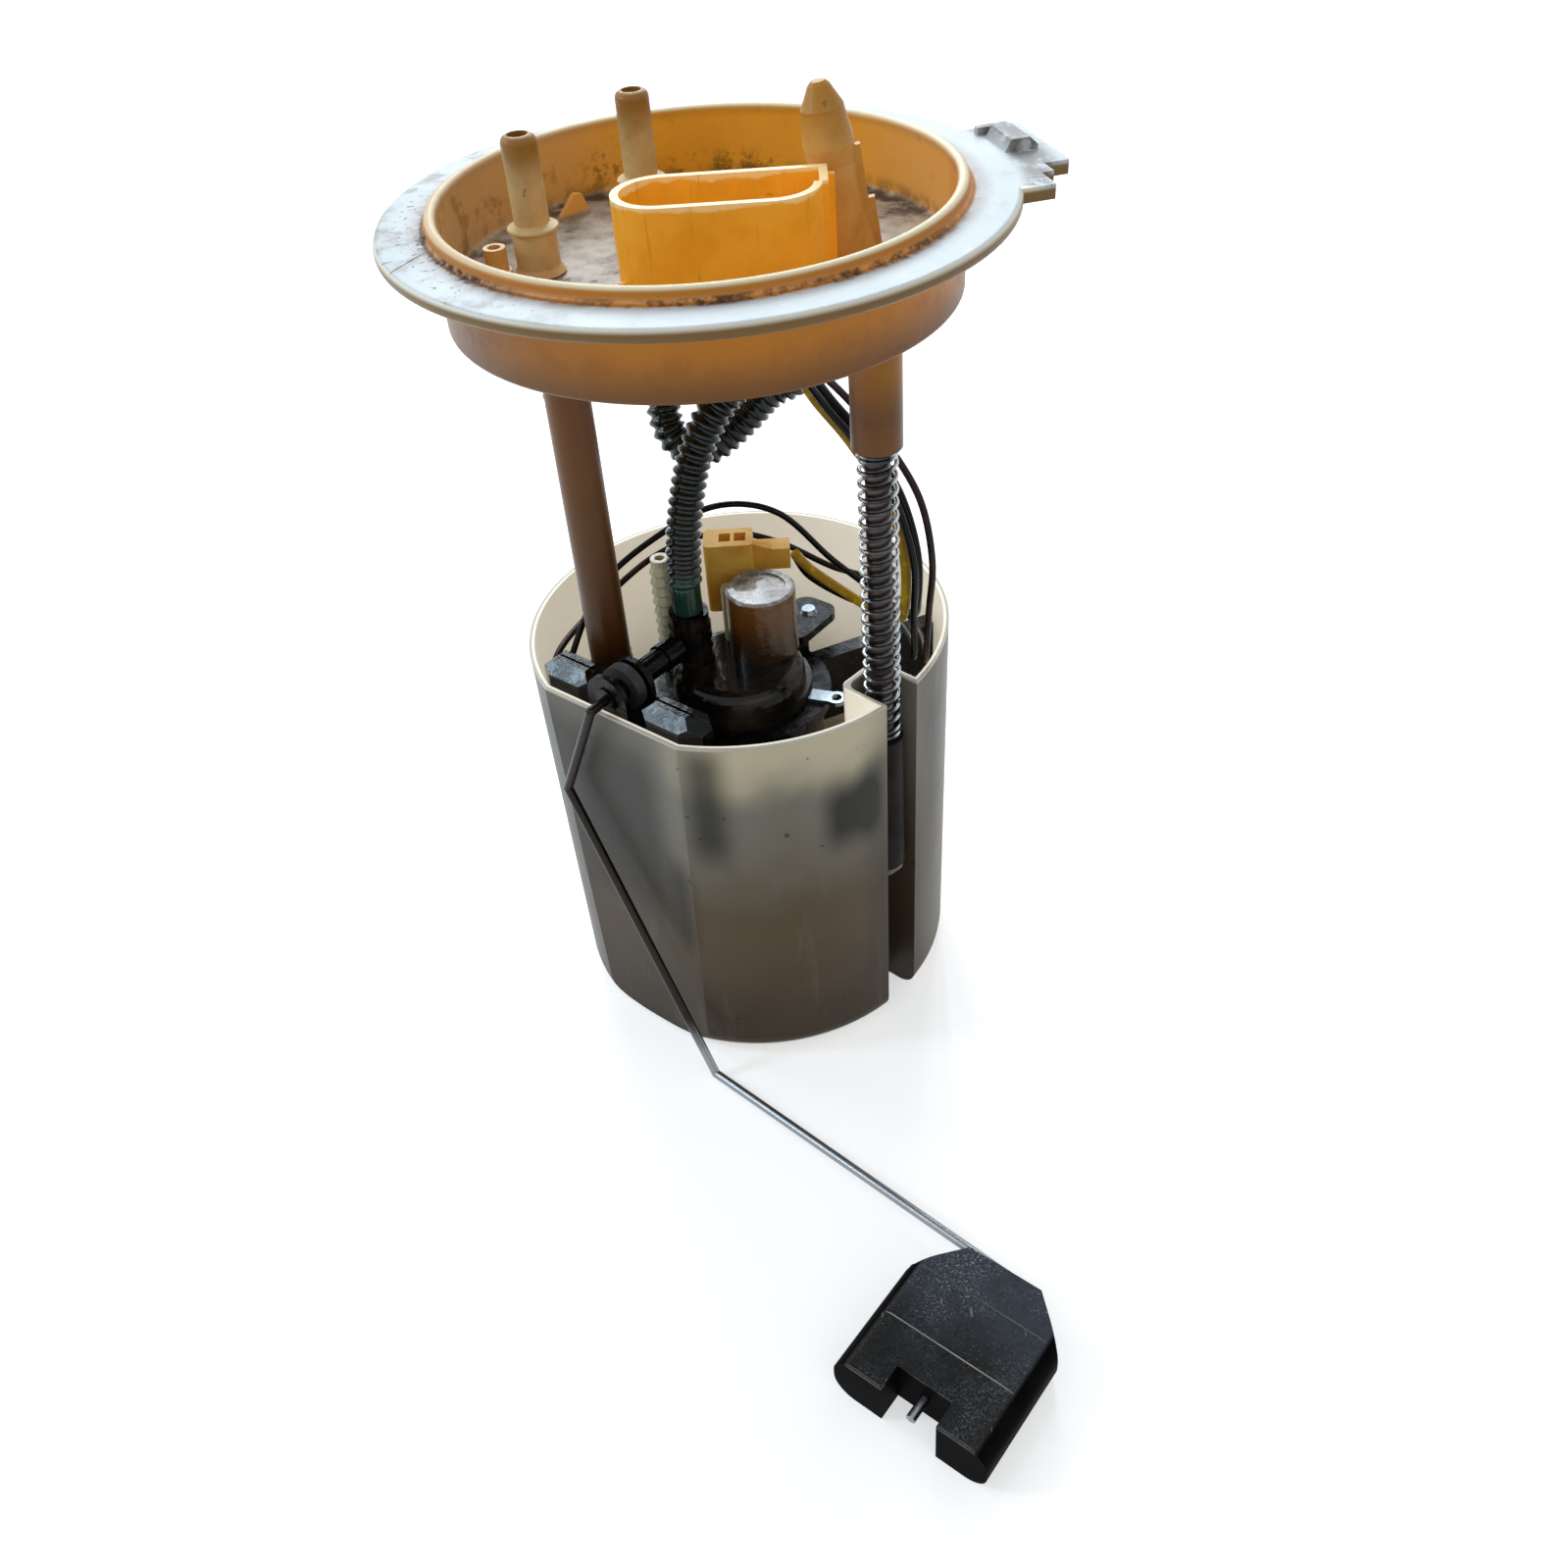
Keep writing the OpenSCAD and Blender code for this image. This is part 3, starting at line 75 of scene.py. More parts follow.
class Shade:
    """A socket of a material's nodes. Arithmetic on it adds Math nodes."""

    def __init__(self, material, socket=None):
        self.material, self.socket = material, socket

    def node(self, kind, settings, sockets, output=0):
        """Adds a node: its settings are set first, then its sockets are given values or links."""
        made = self.material.node_tree.nodes.new("ShaderNode" + kind)
        for name, value in settings.items():
            if name == "stops":
                ramp = made.color_ramp
                while len(ramp.elements) < len(value):
                    ramp.elements.new(0.5)
                for element, (place, colour) in zip(ramp.elements, value):
                    element.position, element.color = place, colour
            else:
                setattr(made, name, value)
        for name, value in sockets.items():
            if isinstance(value, Shade):
                self.material.node_tree.links.new(value.socket, made.inputs[name])
            else:
                made.inputs[name].default_value = value
        return Shade(self.material, made.outputs[output])

    def end(self, kind="OutputMaterial"):
        """Links this shader to the material's output."""
        out = self.material.node_tree.nodes.new("ShaderNode" + kind)
        self.material.node_tree.links.new(self.socket, out.inputs["Surface"])
        return self.material

    def math(self, operation, *values):
        return self.node("Math", {"operation": operation}, dict(enumerate(values)))

    def __add__(self, other):
        return self.math("ADD", self, other)

    def __radd__(self, other):
        return self.math("ADD", other, self)

    def __sub__(self, other):
        return self.math("SUBTRACT", self, other)

    def __rsub__(self, other):
        return self.math("SUBTRACT", other, self)

    def __mul__(self, other):
        return self.math("MULTIPLY", self, other)

    def __rmul__(self, other):
        return self.math("MULTIPLY", other, self)

    def rise(self, low, high):
        """0 where this value is under low, 1 where it is over high, and smooth between."""
        return self.node("MapRange", {"interpolation_type": "SMOOTHSTEP"},
                         {"Value": self, "From Min": low, "From Max": high})

    def hump(self, low, high, soft):
        """1 between low and high, and 0 outside, with soft edges."""
        return self.rise(low - soft, low + soft) * (1 - self.rise(high - soft, high + soft))


def tone(code):
    """A colour as it is seen on a screen, given by its six hex digits."""
    parts = [int(code[i:i + 2], 16) / 255 for i in (0, 2, 4)]
    return (*[(c / 12.92 if c < 0.04045 else ((c + 0.055) / 1.055) ** 2.4) for c in parts], 1)


def begin(name):
    """A new material, with the place on the object as its pattern's coordinates."""
    material = bpy.data.materials.new(name)
    material.use_nodes = True
    material.node_tree.nodes.clear()
    return Shade(material).node("TexCoord", {}, {}, "Object")


def cloud(place, size, detail=4, roughness=0.55, stretch=(1, 1, 1), output="Fac"):
    """Soft random pattern with features of about that size in metres."""
    if stretch != (1, 1, 1):
        place = place.node("Mapping", {}, {"Vector": place, "Scale": stretch})
    return place.node("TexNoise", {}, {"Vector": place, "Scale": 1 / size, "Detail": detail,
                                       "Roughness": roughness}, output)


def axes(place):
    """The three coordinates of a place."""
    return [place.node("SeparateXYZ", {}, {0: place}, i) for i in range(3)]


def length_of(x, y):
    """Length of the line whose run and rise are x and y."""
    return x.math("SQRT", x * x + y * y)


def bearing(x, y):
    """Direction round the flange's axis in degrees, 0 towards +X."""
    return y.math("ARCTAN2", y, x) * (180 / math.pi)


def blend_tones(factor, first, second):
    """The first colour where the factor is 0, the second where it is 1."""
    return factor.node("Mix", {"data_type": "RGBA"}, {0: factor, 6: first, 7: second}, 2)


def close(colour, roughness, height=None, relief=0.0003, **fixed):
    """Ends a material in one Principled shader. What is in fixed is the same all over."""
    shade = next(v for v in (colour, roughness, height) if isinstance(v, Shade))
    sockets = {"Base Color": colour, "Roughness": roughness}
    sockets.update({name.replace("_", " "): value for name, value in fixed.items()})
    if height is not None:
        sockets["Normal"] = shade.node("Bump", {}, {"Height": height, "Distance": relief})
    return shade.node("BsdfPrincipled", {}, sockets).end()


def coat(material, *names):
    """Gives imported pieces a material."""
    for name in names:
        for held in nodes[name].material_slots:
            held.material = material


def stained_pot():
    place = begin("pot_acetal")
    x, y, z = axes(place)
    height = (z - pot_base) * (1 / pot_height)
    radius = length_of(x, y)
    wall = pot_radius - 0.0007 - 0.0012 * (1 - height)
    to_front = x * math.cos(pot_front) + y * math.sin(pot_front)
    along = x * math.cos(groove_line) + y * math.sin(groove_line)
    sideways = y * math.cos(groove_line) - x * math.sin(groove_line)
    across = sideways.math("ABSOLUTE", sideways)
    in_groove = along.rise(0.0415, 0.0425) * (1 - across.rise(0.0066, 0.0072))
    in_round = 1 - (radius - wall).rise(-0.0001, 0.0001)
    behind_front = 1 - to_front.rise(0.0511, 0.0513)
    inside = in_round * behind_front * (1 - in_groove)
    blotch = cloud(place, 0.035, 3)
    streak = cloud(place, 0.006, 4, 0.6, (1, 1, 0.12))
    fine = cloud(place, 0.0015, 3)
    turn = bearing(x, y)
    # Outside: painted shade with stain on it, grey and darker towards the foot, painted paler under the rim
    # at the front
    uneven = height + (blotch - 0.5) * 0.3
    outer = blend_tones(uneven.rise(0.02, 0.42), tone("453729"), tone("63543f"))
    outer = blend_tones(uneven.rise(0.46, 0.80), outer, tone("847e71"))
    outer = blend_tones(uneven.rise(0.80, 0.97) * turn.hump(-104, -48, 12), outer, tone("d6c9ab"))
    # Painted shade on the flat front: grey above, brown below, darkest at its left end
    flat = turn.hump(-176, -113, 8) * (1 - height.rise(0.9, 1.0) * 0.6)
    outer = blend_tones(flat * uneven.rise(0.3, 0.6) * 0.7, outer, tone("454441"))
    outer = blend_tones(flat * (1 - uneven.rise(0.3, 0.6)) * 0.45, outer, tone("35291e"))
    outer = blend_tones((1 - x.rise(-0.058, -0.042)) * flat * 0.6, outer, tone("2f2c28"))
    # Painted shade on the right side of the pot
    outer = blend_tones(turn.hump(-34, 40, 8) * 0.8, outer, tone("574d40"))
    outer = blend_tones(streak.rise(0.55, 0.8) * 0.2, outer, tone("9a9484"))
    # Dark parts inside show as soft shadows through the wall
    shadow = 0
    for middle, half, foot, top, depth in shadows_in_wall:
        shadow = shadow + turn.hump(middle - half, middle + half, 4.5) * height.hump(foot, top, 0.06) * depth
    outer = blend_tones(shadow.math("MINIMUM", shadow, 0.9) * (1 - inside), outer, tone("1f1d1b"))
    # Painted shade on the groove's walls, darker towards the foot
    groove_shade = (1 - across.rise(0.0085, 0.0095)) * (1 - height.rise(0.35, 0.9)) * along.rise(0.030, 0.034)
    outer = blend_tones(groove_shade * 0.5, outer, tone("453a2f"))
    specks = (1 - cloud(place, 0.0035, 2, 0.4).rise(0.22, 0.27)) * (1 - inside)
    outer = blend_tones(specks * 0.7, outer, tone("2b241d"))
    outer = blend_tones((1 - height.rise(0.0, 0.07)) * 0.75, outer, tone("1b1815"))
    # Painted highlight along the rim
    rim = height.rise(0.992, 0.997)
    outer = blend_tones(rim, outer, tone("cfc8b8"))
    inner = blend_tones(blotch.rise(0.35, 0.7), tone("f4ecdc"), tone("e8dfcb"))
    inner = blend_tones(streak.rise(0.6, 0.85) * 0.35, inner, tone("b39f80"))
    inner = blend_tones((1 - height.rise(0.15, 0.75)) * 0.7, inner, tone("a5977c"))
    colour = blend_tones(inside, outer, inner)
    # Painted glow on the inner wall, as of light coming through it
    painted_inner_glow = blend_tones(inside * height.rise(0.3, 0.9), tone("000000"), tone("efe6d4"))
    return close(colour, 0.3 + blotch * 0.16, fine * 0.3 + streak * 0.5, 0.00012, Emission_Color=painted_inner_glow,
                 Emission_Strength=0.42, Specular_IOR_Level=0.12, Coat_Weight=0.05, Coat_Roughness=0.25)


coat(stained_pot(), "swirl_pot")

# First-fill valve, jet pump and strainer
# Black acetal pieces clipped to the pot's floor, a rubber disc, and a woven strainer under the pump.


def moulded(name, light, dark, roughness=0.4, **fixed):
    """Moulded plastic or rubber, with faint clouds and a fine grain."""
    place = begin(name)
    blotch = cloud(place, 0.012, 4)
    grain = cloud(place, 0.0008, 3)
    return close(blend_tones(blotch.rise(0.3, 0.75), tone(light), tone(dark)),
                 roughness + (blotch - 0.5) * 0.2, grain * 0.6 + blotch * 0.4, 0.00015, **fixed)


coat(moulded("inner_acetal", "2b2b2a", "1b1c1c"), "inlet_valve_seat", "jet_pump")
coat(moulded("valve_rubber", "191a1b", "101011", 0.7), "inlet_valve_disc")


def woven_mesh():
    place = begin("strainer_mesh")
    x, y, z = axes(place)
    threads = (x * 9000).math("SINE", x * 9000) * (y * 9000).math("SINE", y * 9000)
    grime = cloud(place, 0.008)
    return close(blend_tones(grime.rise(0.4, 0.8), tone("c9c3b0"), tone("8d8060")), 0.8 + grime * 0.1,
                 threads, 0.0002)


coat(woven_mesh(), "pump_strainer")

# Pump
# A plated steel can with a plastic chamber at its foot and an olive plastic end bell crimped on top.
# Inside are ferrite magnets, carbon brushes, and a wound armature with its commutator and impeller.
mark_relief = 0.00005


def metal(name, light, dark, roughness=0.3, stretch=(1, 1, 1)):
    """Bare or plated metal with fine marks, drawn out along one axis where it is ground or turned."""
    place = begin(name)
    marks = cloud(place, 0.0012, 5, 0.65, stretch)
    blotch = cloud(place, 0.01, 3)
    return close(blend_tones(blotch.rise(0.3, 0.75) * 0.6 + marks * 0.4, tone(light), tone(dark)),
                 roughness + (marks - 0.5) * 0.22, marks, mark_relief, Metallic=1.0)


coat(metal("can_steel", "a5a7a8", "6d6e70", 0.35, (1, 1, 0.1)), "pump_can")
coat(metal("rotor_steel", "7d5f45", "4b3a2c", 0.4), "armature")
coat(metal("commutator_brass", "c08a55", "8f5f38", 0.3), "commutator")
coat(metal("shaft_steel", "c9cbcd", "9a9c9e", 0.2), "rotor_shaft")
coat(moulded("magnet_ferrite", "303033", "222225", 0.6), "pump_magnets", "sender_magnet")
coat(moulded("brush_carbon", "262423", "171616", 0.55), "pump_brushes")
coat(moulded("chamber_plastic", "5d5e55", "47483f"), "pump_chamber")
coat(moulded("impeller_plastic", "37423d", "28312d"), "impeller")


def wet(name, light, dark, roughness=0.16, pool=0.006, relief=0.0004, gloss=0.13, **fixed):
    """Plastic or rubber wet with old fuel: a dark gloss that lies in uneven pools."""
    place = begin(name)
    film = cloud(place, pool, 5, 0.6)
    grain = cloud(place, 0.0011, 3)
    dry = film.rise(0.42, 0.7)
    return close(blend_tones(dry, tone(dark), tone(light)), roughness + dry * 0.22,
                 film * 0.7 + grain * 0.18 * dry, relief, Specular_IOR_Level=gloss, Coat_Weight=0.1,
                 Coat_Roughness=0.04, **fixed)


coat(wet("bell_plastic", "2b251e", "0f0d0b", 0.12, 0.014, 0.0004, 0.2, Subsurface_Weight=0.1,
         Subsurface_Radius=(0.003, 0.003, 0.001)), "pump_end_bell")

# Fittings on the end bell
# The pressure regulator's amber cap, the black sleeve of the hose, the clear ribbed nipple beside it,
# and the amber plug of the pump's two wires.
regulator_top = -0.0915


def regulator_amber():
    place = begin("regulator_amber")
    x, y, z = axes(place)
    film = cloud(place, 0.005, 5, 0.6)
    fine = cloud(place, 0.0018, 4, 0.6)
    side = blend_tones((z + (film - 0.5) * 0.006).rise(regulator_top - 0.016, regulator_top - 0.002),
                       tone("2c1a08"), tone("693f17"))
    wet_top = blend_tones((fine + film * 0.6).rise(0.7, 0.95), tone("7d7269"), tone("b4b1ae"))
    # The pipe moulded to the cap's side has stayed cream
    from_pipe = length_of(x + 0.0011, y + 0.0060)
    from_cap = length_of(x - 0.0070, y + 0.0110)
    pipe = (1 - from_pipe.rise(0.0027, 0.0029)) * from_cap.rise(0.0089, 0.0092)
    colour = blend_tones(pipe, side, tone("b5aa86"))
    colour = blend_tones(z.rise(regulator_top - 0.0007, regulator_top - 0.0005), colour, wet_top)
    return close(colour, 0.12 + film * 0.16, film * 0.6 + fine * 0.5, 0.0005, Subsurface_Weight=0.15,
                 Subsurface_Radius=(0.004, 0.002, 0.0006), Coat_Weight=0.3, Coat_Roughness=0.06)


coat(regulator_amber(), "regulator_cap")
coat(wet("sleeve_rubber", "241c16", "0a0807", 0.14), "outlet_sleeve")
coat(moulded("clear_plastic", "d9d0ad", "bfb48b", 0.25, Subsurface_Weight=0.4,
             Subsurface_Radius=(0.003, 0.003, 0.002)), "vent_nipple")
coat(moulded("plug_amber", "efbd58", "d69833", 0.4, Specular_IOR_Level=0.1, Subsurface_Weight=0.3,
             Subsurface_Radius=(0.003, 0.002, 0.0006)), "pump_plug")

# Holder, sender and dampers
# Black acetal and rubber, wet with fuel: the ring that holds the pump, the frame of the level sender on
# the pot's flat front, its two dampers, and the hub that the float arm turns on.
black_wet = wet("holder_wet", "090b0d", "020303", 0.10, 0.003, 0.0007, 0.12)
coat(black_wet, "pump_holder", "sender_frame")
coat(wet("damper_rubber", "080a0b", "020303", 0.09, 0.005, 0.0005, 0.17), "damper_left", "damper_right")
coat(wet("hub_plastic", "090a0c", "030304", 0.08, 0.004, 0.0003, 0.12), "sender_hub")
coat(moulded("sensor_resin", "2a2c2f", "1a1b1d", 0.35), "sender_sensor")
coat(metal("trim_steel", "8d969e", "626a71", 0.22), "holder_rivet", "holder_clip")

# Float arm
# A bent steel wire, dark near the pivot and bright towards the float, and a float of black
# closed-cell rubber with a wrinkled, speckled skin, with a painted shine on its top.
pivot = Vector((-0.02928, -0.03423, -0.105))
float_out = Vector((math.cos(pot_front), math.sin(pot_front), 0))


def arm_steel():
    place = begin("arm_steel")
    x, y, z = axes(place)
    dark_share = (z + cloud(place, 0.02) * 0.012).rise(-0.213, -0.197)
    marks = cloud(place, 0.0012, 5, 0.65)
    return close(blend_tones(dark_share, tone("94979b"), tone("312c29")), 0.22 + marks * 0.2, marks, mark_relief,
                 Metallic=1.0)


coat(arm_steel(), "float_wire")


def wrinkled_rubber(name, light, dark):
    place = begin(name)
    x, y, z = axes(place)
    crease = cloud(place, 0.0010, 3, 0.6)
    wrinkle = crease.math("ABSOLUTE", crease - 0.5) * 2
    wear = cloud(place, 0.014, 4)
    # The moulded top is wrinkled, the sides and the ends are smooth
    on_top = z.rise(-0.2110, -0.2103)
    dots = place.node("TexVoronoi", {}, {"Vector": place, "Scale": 1000.0}, "Distance")
    pits = (1 - dots.rise(0.1, 0.3)) * (wear + (crease - 0.5) * 0.3).rise(0.46, 0.62) * on_top
    nicks = cloud(place, 0.0030, 2, 0.5, (1, 0.2, 1)).rise(0.70, 0.72) * on_top
    # Painted shine along the crests of the wrinkles, where the wet skin shines
    crests = (1 - wrinkle.rise(0.02, 0.09)) * cloud(place, 0.012, 3).rise(0.40, 0.65) * on_top
    from_hub = (x - pivot.x) * float_out.x + (y - pivot.y) * float_out.y
    # Painted blue-grey shine on the top's half next to the hub
    painted_sheen = (1 - (from_hub + (wear - 0.5) * 0.03).rise(0.034, 0.060)) * on_top
    colour = blend_tones(wear.rise(0.35, 0.75), tone(dark), tone(light))
    colour = blend_tones(painted_sheen * 0.7, colour, tone("454b56"))
    colour = blend_tones(crests * 0.35, colour, tone("6f757d"))
    # Painted sparkles of light along the crests
    painted_glints = crests * cloud(place, 0.0006, 2).rise(0.50, 0.60) * (1.3 - from_hub.rise(0.02, 0.06))
    colour = blend_tones(painted_glints * 0.75, colour, tone("b4bac1"))
    colour = blend_tones(pits.math("MAXIMUM", pits * 0.30, nicks * 0.8), colour, tone("8b8780"))
    relief = place.node("Bump", {}, {"Height": (wrinkle + crease * 0.5) * on_top, "Distance": 0.0007})
    skin = {"Base Color": colour, "Normal": relief}
    side = place.node("BsdfPrincipled", {}, {**skin, "Roughness": 0.5, "Specular IOR Level": 0.01})
    top = place.node("BsdfPrincipled", {},
                     {**skin, "Roughness": 0.14 + wear * 0.2, "Specular IOR Level": 0.2})
    return place.node("MixShader", {}, {0: on_top, 1: side, 2: top}).end()


coat(wrinkled_rubber("float_rubber", "131212", "080809"), "float_body")

# Mould lines of the float
# Fine ridges of rubber where the mould closed: two cross the float's top and run on round its long edges,
# and a third lies along the edge over the blunt end, left and right of the notch.
float_aside = Vector((-float_out.y, float_out.x, 0))
float_top = -0.2100
float_middle = 0.130
edge_round = 0.006
line_radius = 0.00018
line_sides = 12
line_sink = 0.00006
# Round an edge a line is carried on in steps of this many degrees
edge_step = 12
edge_turn = 72
line_rubber = moulded("float_line_rubber", "aba8a2", "77746f", 0.5)
worn_line_rubber = moulded("float_worn_line_rubber", "5c5b5a", "2b2a2a", 0.5)


def mould_line(name, reach, start, end, rounded, rubber):
    """A fine ridge across the float from start to end, carried on round the edges on the named sides."""
    middle = float_out * reach + float_aside * (float_middle + (start + end) / 2)
    bpy.ops.object.select_all(action="DESELECT")
    bpy.ops.mesh.primitive_cylinder_add(
        vertices=line_sides, radius=line_radius, depth=end - start,
        location=middle + Vector((0, 0, float_top - line_sink)),
        rotation=float_aside.to_track_quat("Z", "Y").to_euler())
    line = bpy.context.object
    line.name = name
    bpy.ops.object.transform_apply(location=True, rotation=True, scale=True)
    for side in rounded:
        for turned in range(edge_step // 2, edge_turn, edge_step):
            last = max((f for f in line.data.polygons if len(f.vertices) == line_sides),
                       key=lambda face: side * face.center.dot(float_aside)).index
            bpy.ops.object.mode_set(mode="EDIT")
            bpy.ops.mesh.select_mode(type="FACE")
            bpy.ops.mesh.select_all(action="DESELECT")
            bpy.ops.object.mode_set(mode="OBJECT")
            line.data.polygons[last].select = True
            bpy.ops.object.mode_set(mode="EDIT")
            slope = math.radians(turned)
            ahead = float_aside * side * math.cos(slope) - Vector((0, 0, math.sin(slope)))
            stride = 2 * edge_round * math.sin(math.radians(edge_step / 2))
            bpy.ops.mesh.extrude_region_move(TRANSFORM_OT_translate={"value": ahead * stride})
            bpy.ops.object.mode_set(mode="OBJECT")
    bpy.ops.object.shade_smooth_by_angle(angle=math.radians(50))
    line.data.materials.append(rubber)
    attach(line, "float_arm")


mould_line("float_line_near", 0.0818, -0.0148, 0.0148, (-1, 1), worn_line_rubber)
mould_line("float_line_far", 0.0968, -0.0148, 0.0148, (-1, 1), line_rubber)
mould_line("float_line_edge_left", 0.1131, -0.0148, -0.0079, (-1,), worn_line_rubber)
mould_line("float_line_edge_right", 0.1131, 0.0079, 0.0148, (1,), worn_line_rubber)

# Flange cover
# One acetal moulding: ring, collar, cup, skirt and locating tab. Years of fuel have turned it amber below,
# the pale ring holds a painted blue-white reflection, grime lies along the collar and on the cup's floor, and
# shade and a glow are painted on the skirt and the cup.


def aged_flange():
    place = begin("flange_acetal")
    x, y, z = axes(place)
    radius = length_of(x, y)
    big = cloud(place, 0.03, 5, 0.6)
    mid = cloud(place, 0.008, 6, 0.65)
    small = cloud(place, 0.0016, 4, 0.6)
    left = 1 - (x + (big - 0.5) * 0.02).rise(-0.058, -0.012)
    turn = bearing(x, y)
    # Skirt under the ring, with painted shade at the left and towards its foot
    low = 1 - (z + (big - 0.5) * 0.006).rise(-0.0175, -0.004)
    skirt = blend_tones(mid.rise(0.35, 0.7) * 0.5, tone("9a5c0c"), tone("824d10"))
    skirt = blend_tones(left.math("MAXIMUM", left * 0.8, low * 0.65), skirt, tone("5c3c1c"))
    skirt = blend_tones(small.rise(0.70, 0.74) * 0.6, skirt, tone("4a2f18"))
    # Wall of the cup, seen from inside, with painted light that makes its left side paler
    wall = blend_tones(big.rise(0.35, 0.7), tone("d8982f"), tone("c48423"))
    wall = blend_tones(left * 0.85, wall, tone("c4a278"))
    wall = blend_tones(x.rise(0.030, 0.055) * 0.55, wall, tone("c79a6c"))
    wall = blend_tones((mid + left * 0.08).rise(0.60, 0.74) * 0.6, wall, tone("6b4726"))
    rusty = (turn.hump(110, 122, 5) * z.hump(-0.0085, -0.0015, 0.002)
             + turn.hump(72, 100, 8) * z.hump(-0.011, -0.005, 0.002))
    wall = blend_tones(rusty * (mid * 0.6 + small * 0.5).rise(0.52, 0.62) * 0.85, wall, tone("3b2313"))
    inside = 1 - radius.rise(0.0572, 0.0578)
    colour = blend_tones(inside, skirt, wall)
    # Ring and tab: pale, with a painted blue-white reflection in their colour
    ring = blend_tones(big.rise(0.3, 0.7), tone("d6dcdf"), tone("c4ccd0"))
    ring = blend_tones(mid.rise(0.56, 0.8) * 0.55, ring, tone("a9a296"))
    inner_half = 1 - radius.rise(0.0625, 0.0695)
    ring = blend_tones((small + left * inner_half * 0.07).rise(0.645, 0.69) * (0.3 + left * 0.6), ring,
                       tone("5d554b"))
    ring = blend_tones(left * mid.rise(0.46, 0.64) * 0.7, ring, tone("8a8074"))
    collar_foot = 1 - (radius + (mid - 0.5) * 0.006).rise(0.0605, 0.0655)
    ring = blend_tones(collar_foot * (0.35 + mid.rise(0.4, 0.65) * 0.5), ring, tone("8c7263"))
    # Grime round the ramp of the tab
    by_ramp = radius.hump(0.0715, 0.0800, 0.002)
    ring = blend_tones(by_ramp * (mid + small * 0.3).rise(0.50, 0.70) * 0.85, ring, tone("6a6055"))
    on_tab = turn.hump(-6, 29, 0.6) * radius.rise(0.0695, 0.0705)
    edge = radius.rise(0.0701, 0.0706) * (1 - on_tab)
    ring = blend_tones(edge, ring, tone("efe6d2"))
    ring = blend_tones((edge + on_tab) * (1 - z.rise(0.0019, 0.0029)), ring, tone("80602f"))
    on_ring = radius.rise(0.0605, 0.0611) * z.rise(-0.0008, 0.0001)
    colour = blend_tones(on_ring, colour, ring)
    # Collar: amber outside with a pale rim
    on_collar = z.rise(0.0033, 0.0037) * radius.hump(0.0575, 0.0616, 0.0003)
    collar = blend_tones(z.rise(0.0035, 0.0052), tone("c9905e"), tone("c47c22"))
    colour = blend_tones(on_collar, colour, collar)
    collar_rim = z.rise(0.0054, 0.0061) * (1 - radius.rise(0.0612, 0.0618)) * (1 - left * 0.4)
    colour = blend_tones(collar_rim, colour, tone("f0e0ba"))
    on_floor = (1 - radius.rise(0.0560, 0.0571)) * z.hump(-0.0125, -0.0098, 0.0004)
    dust = blend_tones(mid.rise(0.35, 0.65), tone("b5a897"), tone("857460"))
    colour = blend_tones(on_floor, colour, dust)
    # Soot along the collar's foot, in the cup's corner and on its floor, and two scratches
    sooty = turn.hump(-172, -128, 12) + turn.hump(-108, -30, 14) * 0.8 + 0.15
    near_collar = ((1 - radius.rise(0.0606, 0.0624)) * radius.rise(0.0580, 0.0590)
                   * z.hump(0.0025, 0.0042, 0.0004))
    near_wall = radius.hump(0.0500, 0.0572, 0.003) * z.hump(-0.0120, -0.0080, 0.0016)
    soot = near_collar * (mid * 0.7 + small * 0.5).rise(0.48, 0.70) * sooty
    soot = soot.math("MAXIMUM", soot, near_wall * (mid + big * 0.3).rise(0.58, 0.72) * 0.8)
    soot = soot.math("MAXIMUM", soot, on_floor * (mid * 0.7 + small * 0.4).rise(0.60, 0.72) * 0.8)
    across = x * 0.893 - y * 0.451 + 0.0393
    along = x * 0.451 + y * 0.893
    first = across.hump(-0.00016, 0.00016, 0.0001) * along.hump(-0.0592, -0.0478, 0.001)
    second = (y - x * 0.35 + 0.0065).hump(-0.00014, 0.00014, 0.0001) * x.hump(-0.0690, -0.0625, 0.001)
    scratch = first.math("MAXIMUM", first, second) * z.rise(0.0028, 0.0031)
    colour = blend_tones((soot * 0.92).math("MAXIMUM", soot * 0.92, scratch * 0.8), colour, tone("231a13"))
    # Painted glow, as of light coming through the wall of the cup and the skirt, most at the back and at the
    # right
    under_rim = (1 - z.rise(0.003, 0.006)) * z.rise(-0.019, -0.006)
    clear = (1 - on_floor) * (1 - on_ring) * (1 - left * 0.65) * under_rim
    through = blend_tones(clear * (1 - soot), tone("000000"), tone("d98a10"))
    return close(colour, 0.34 + mid * 0.15 + soot * 0.3, mid * 0.4 + small * 0.25 + soot * 0.4 - scratch,
                 0.00025, Specular_IOR_Level=0.35, Emission_Color=through, Emission_Strength=0.22)


coat(aged_flange(), "flange_cover")

# Pieces on the flange
# The connector's shroud with its terminals, the two quick-connect spigots, the closed heater nipple and the
# vent stub are moulded in acetal; the shroud has a painted amber glow, as of light coming through it.


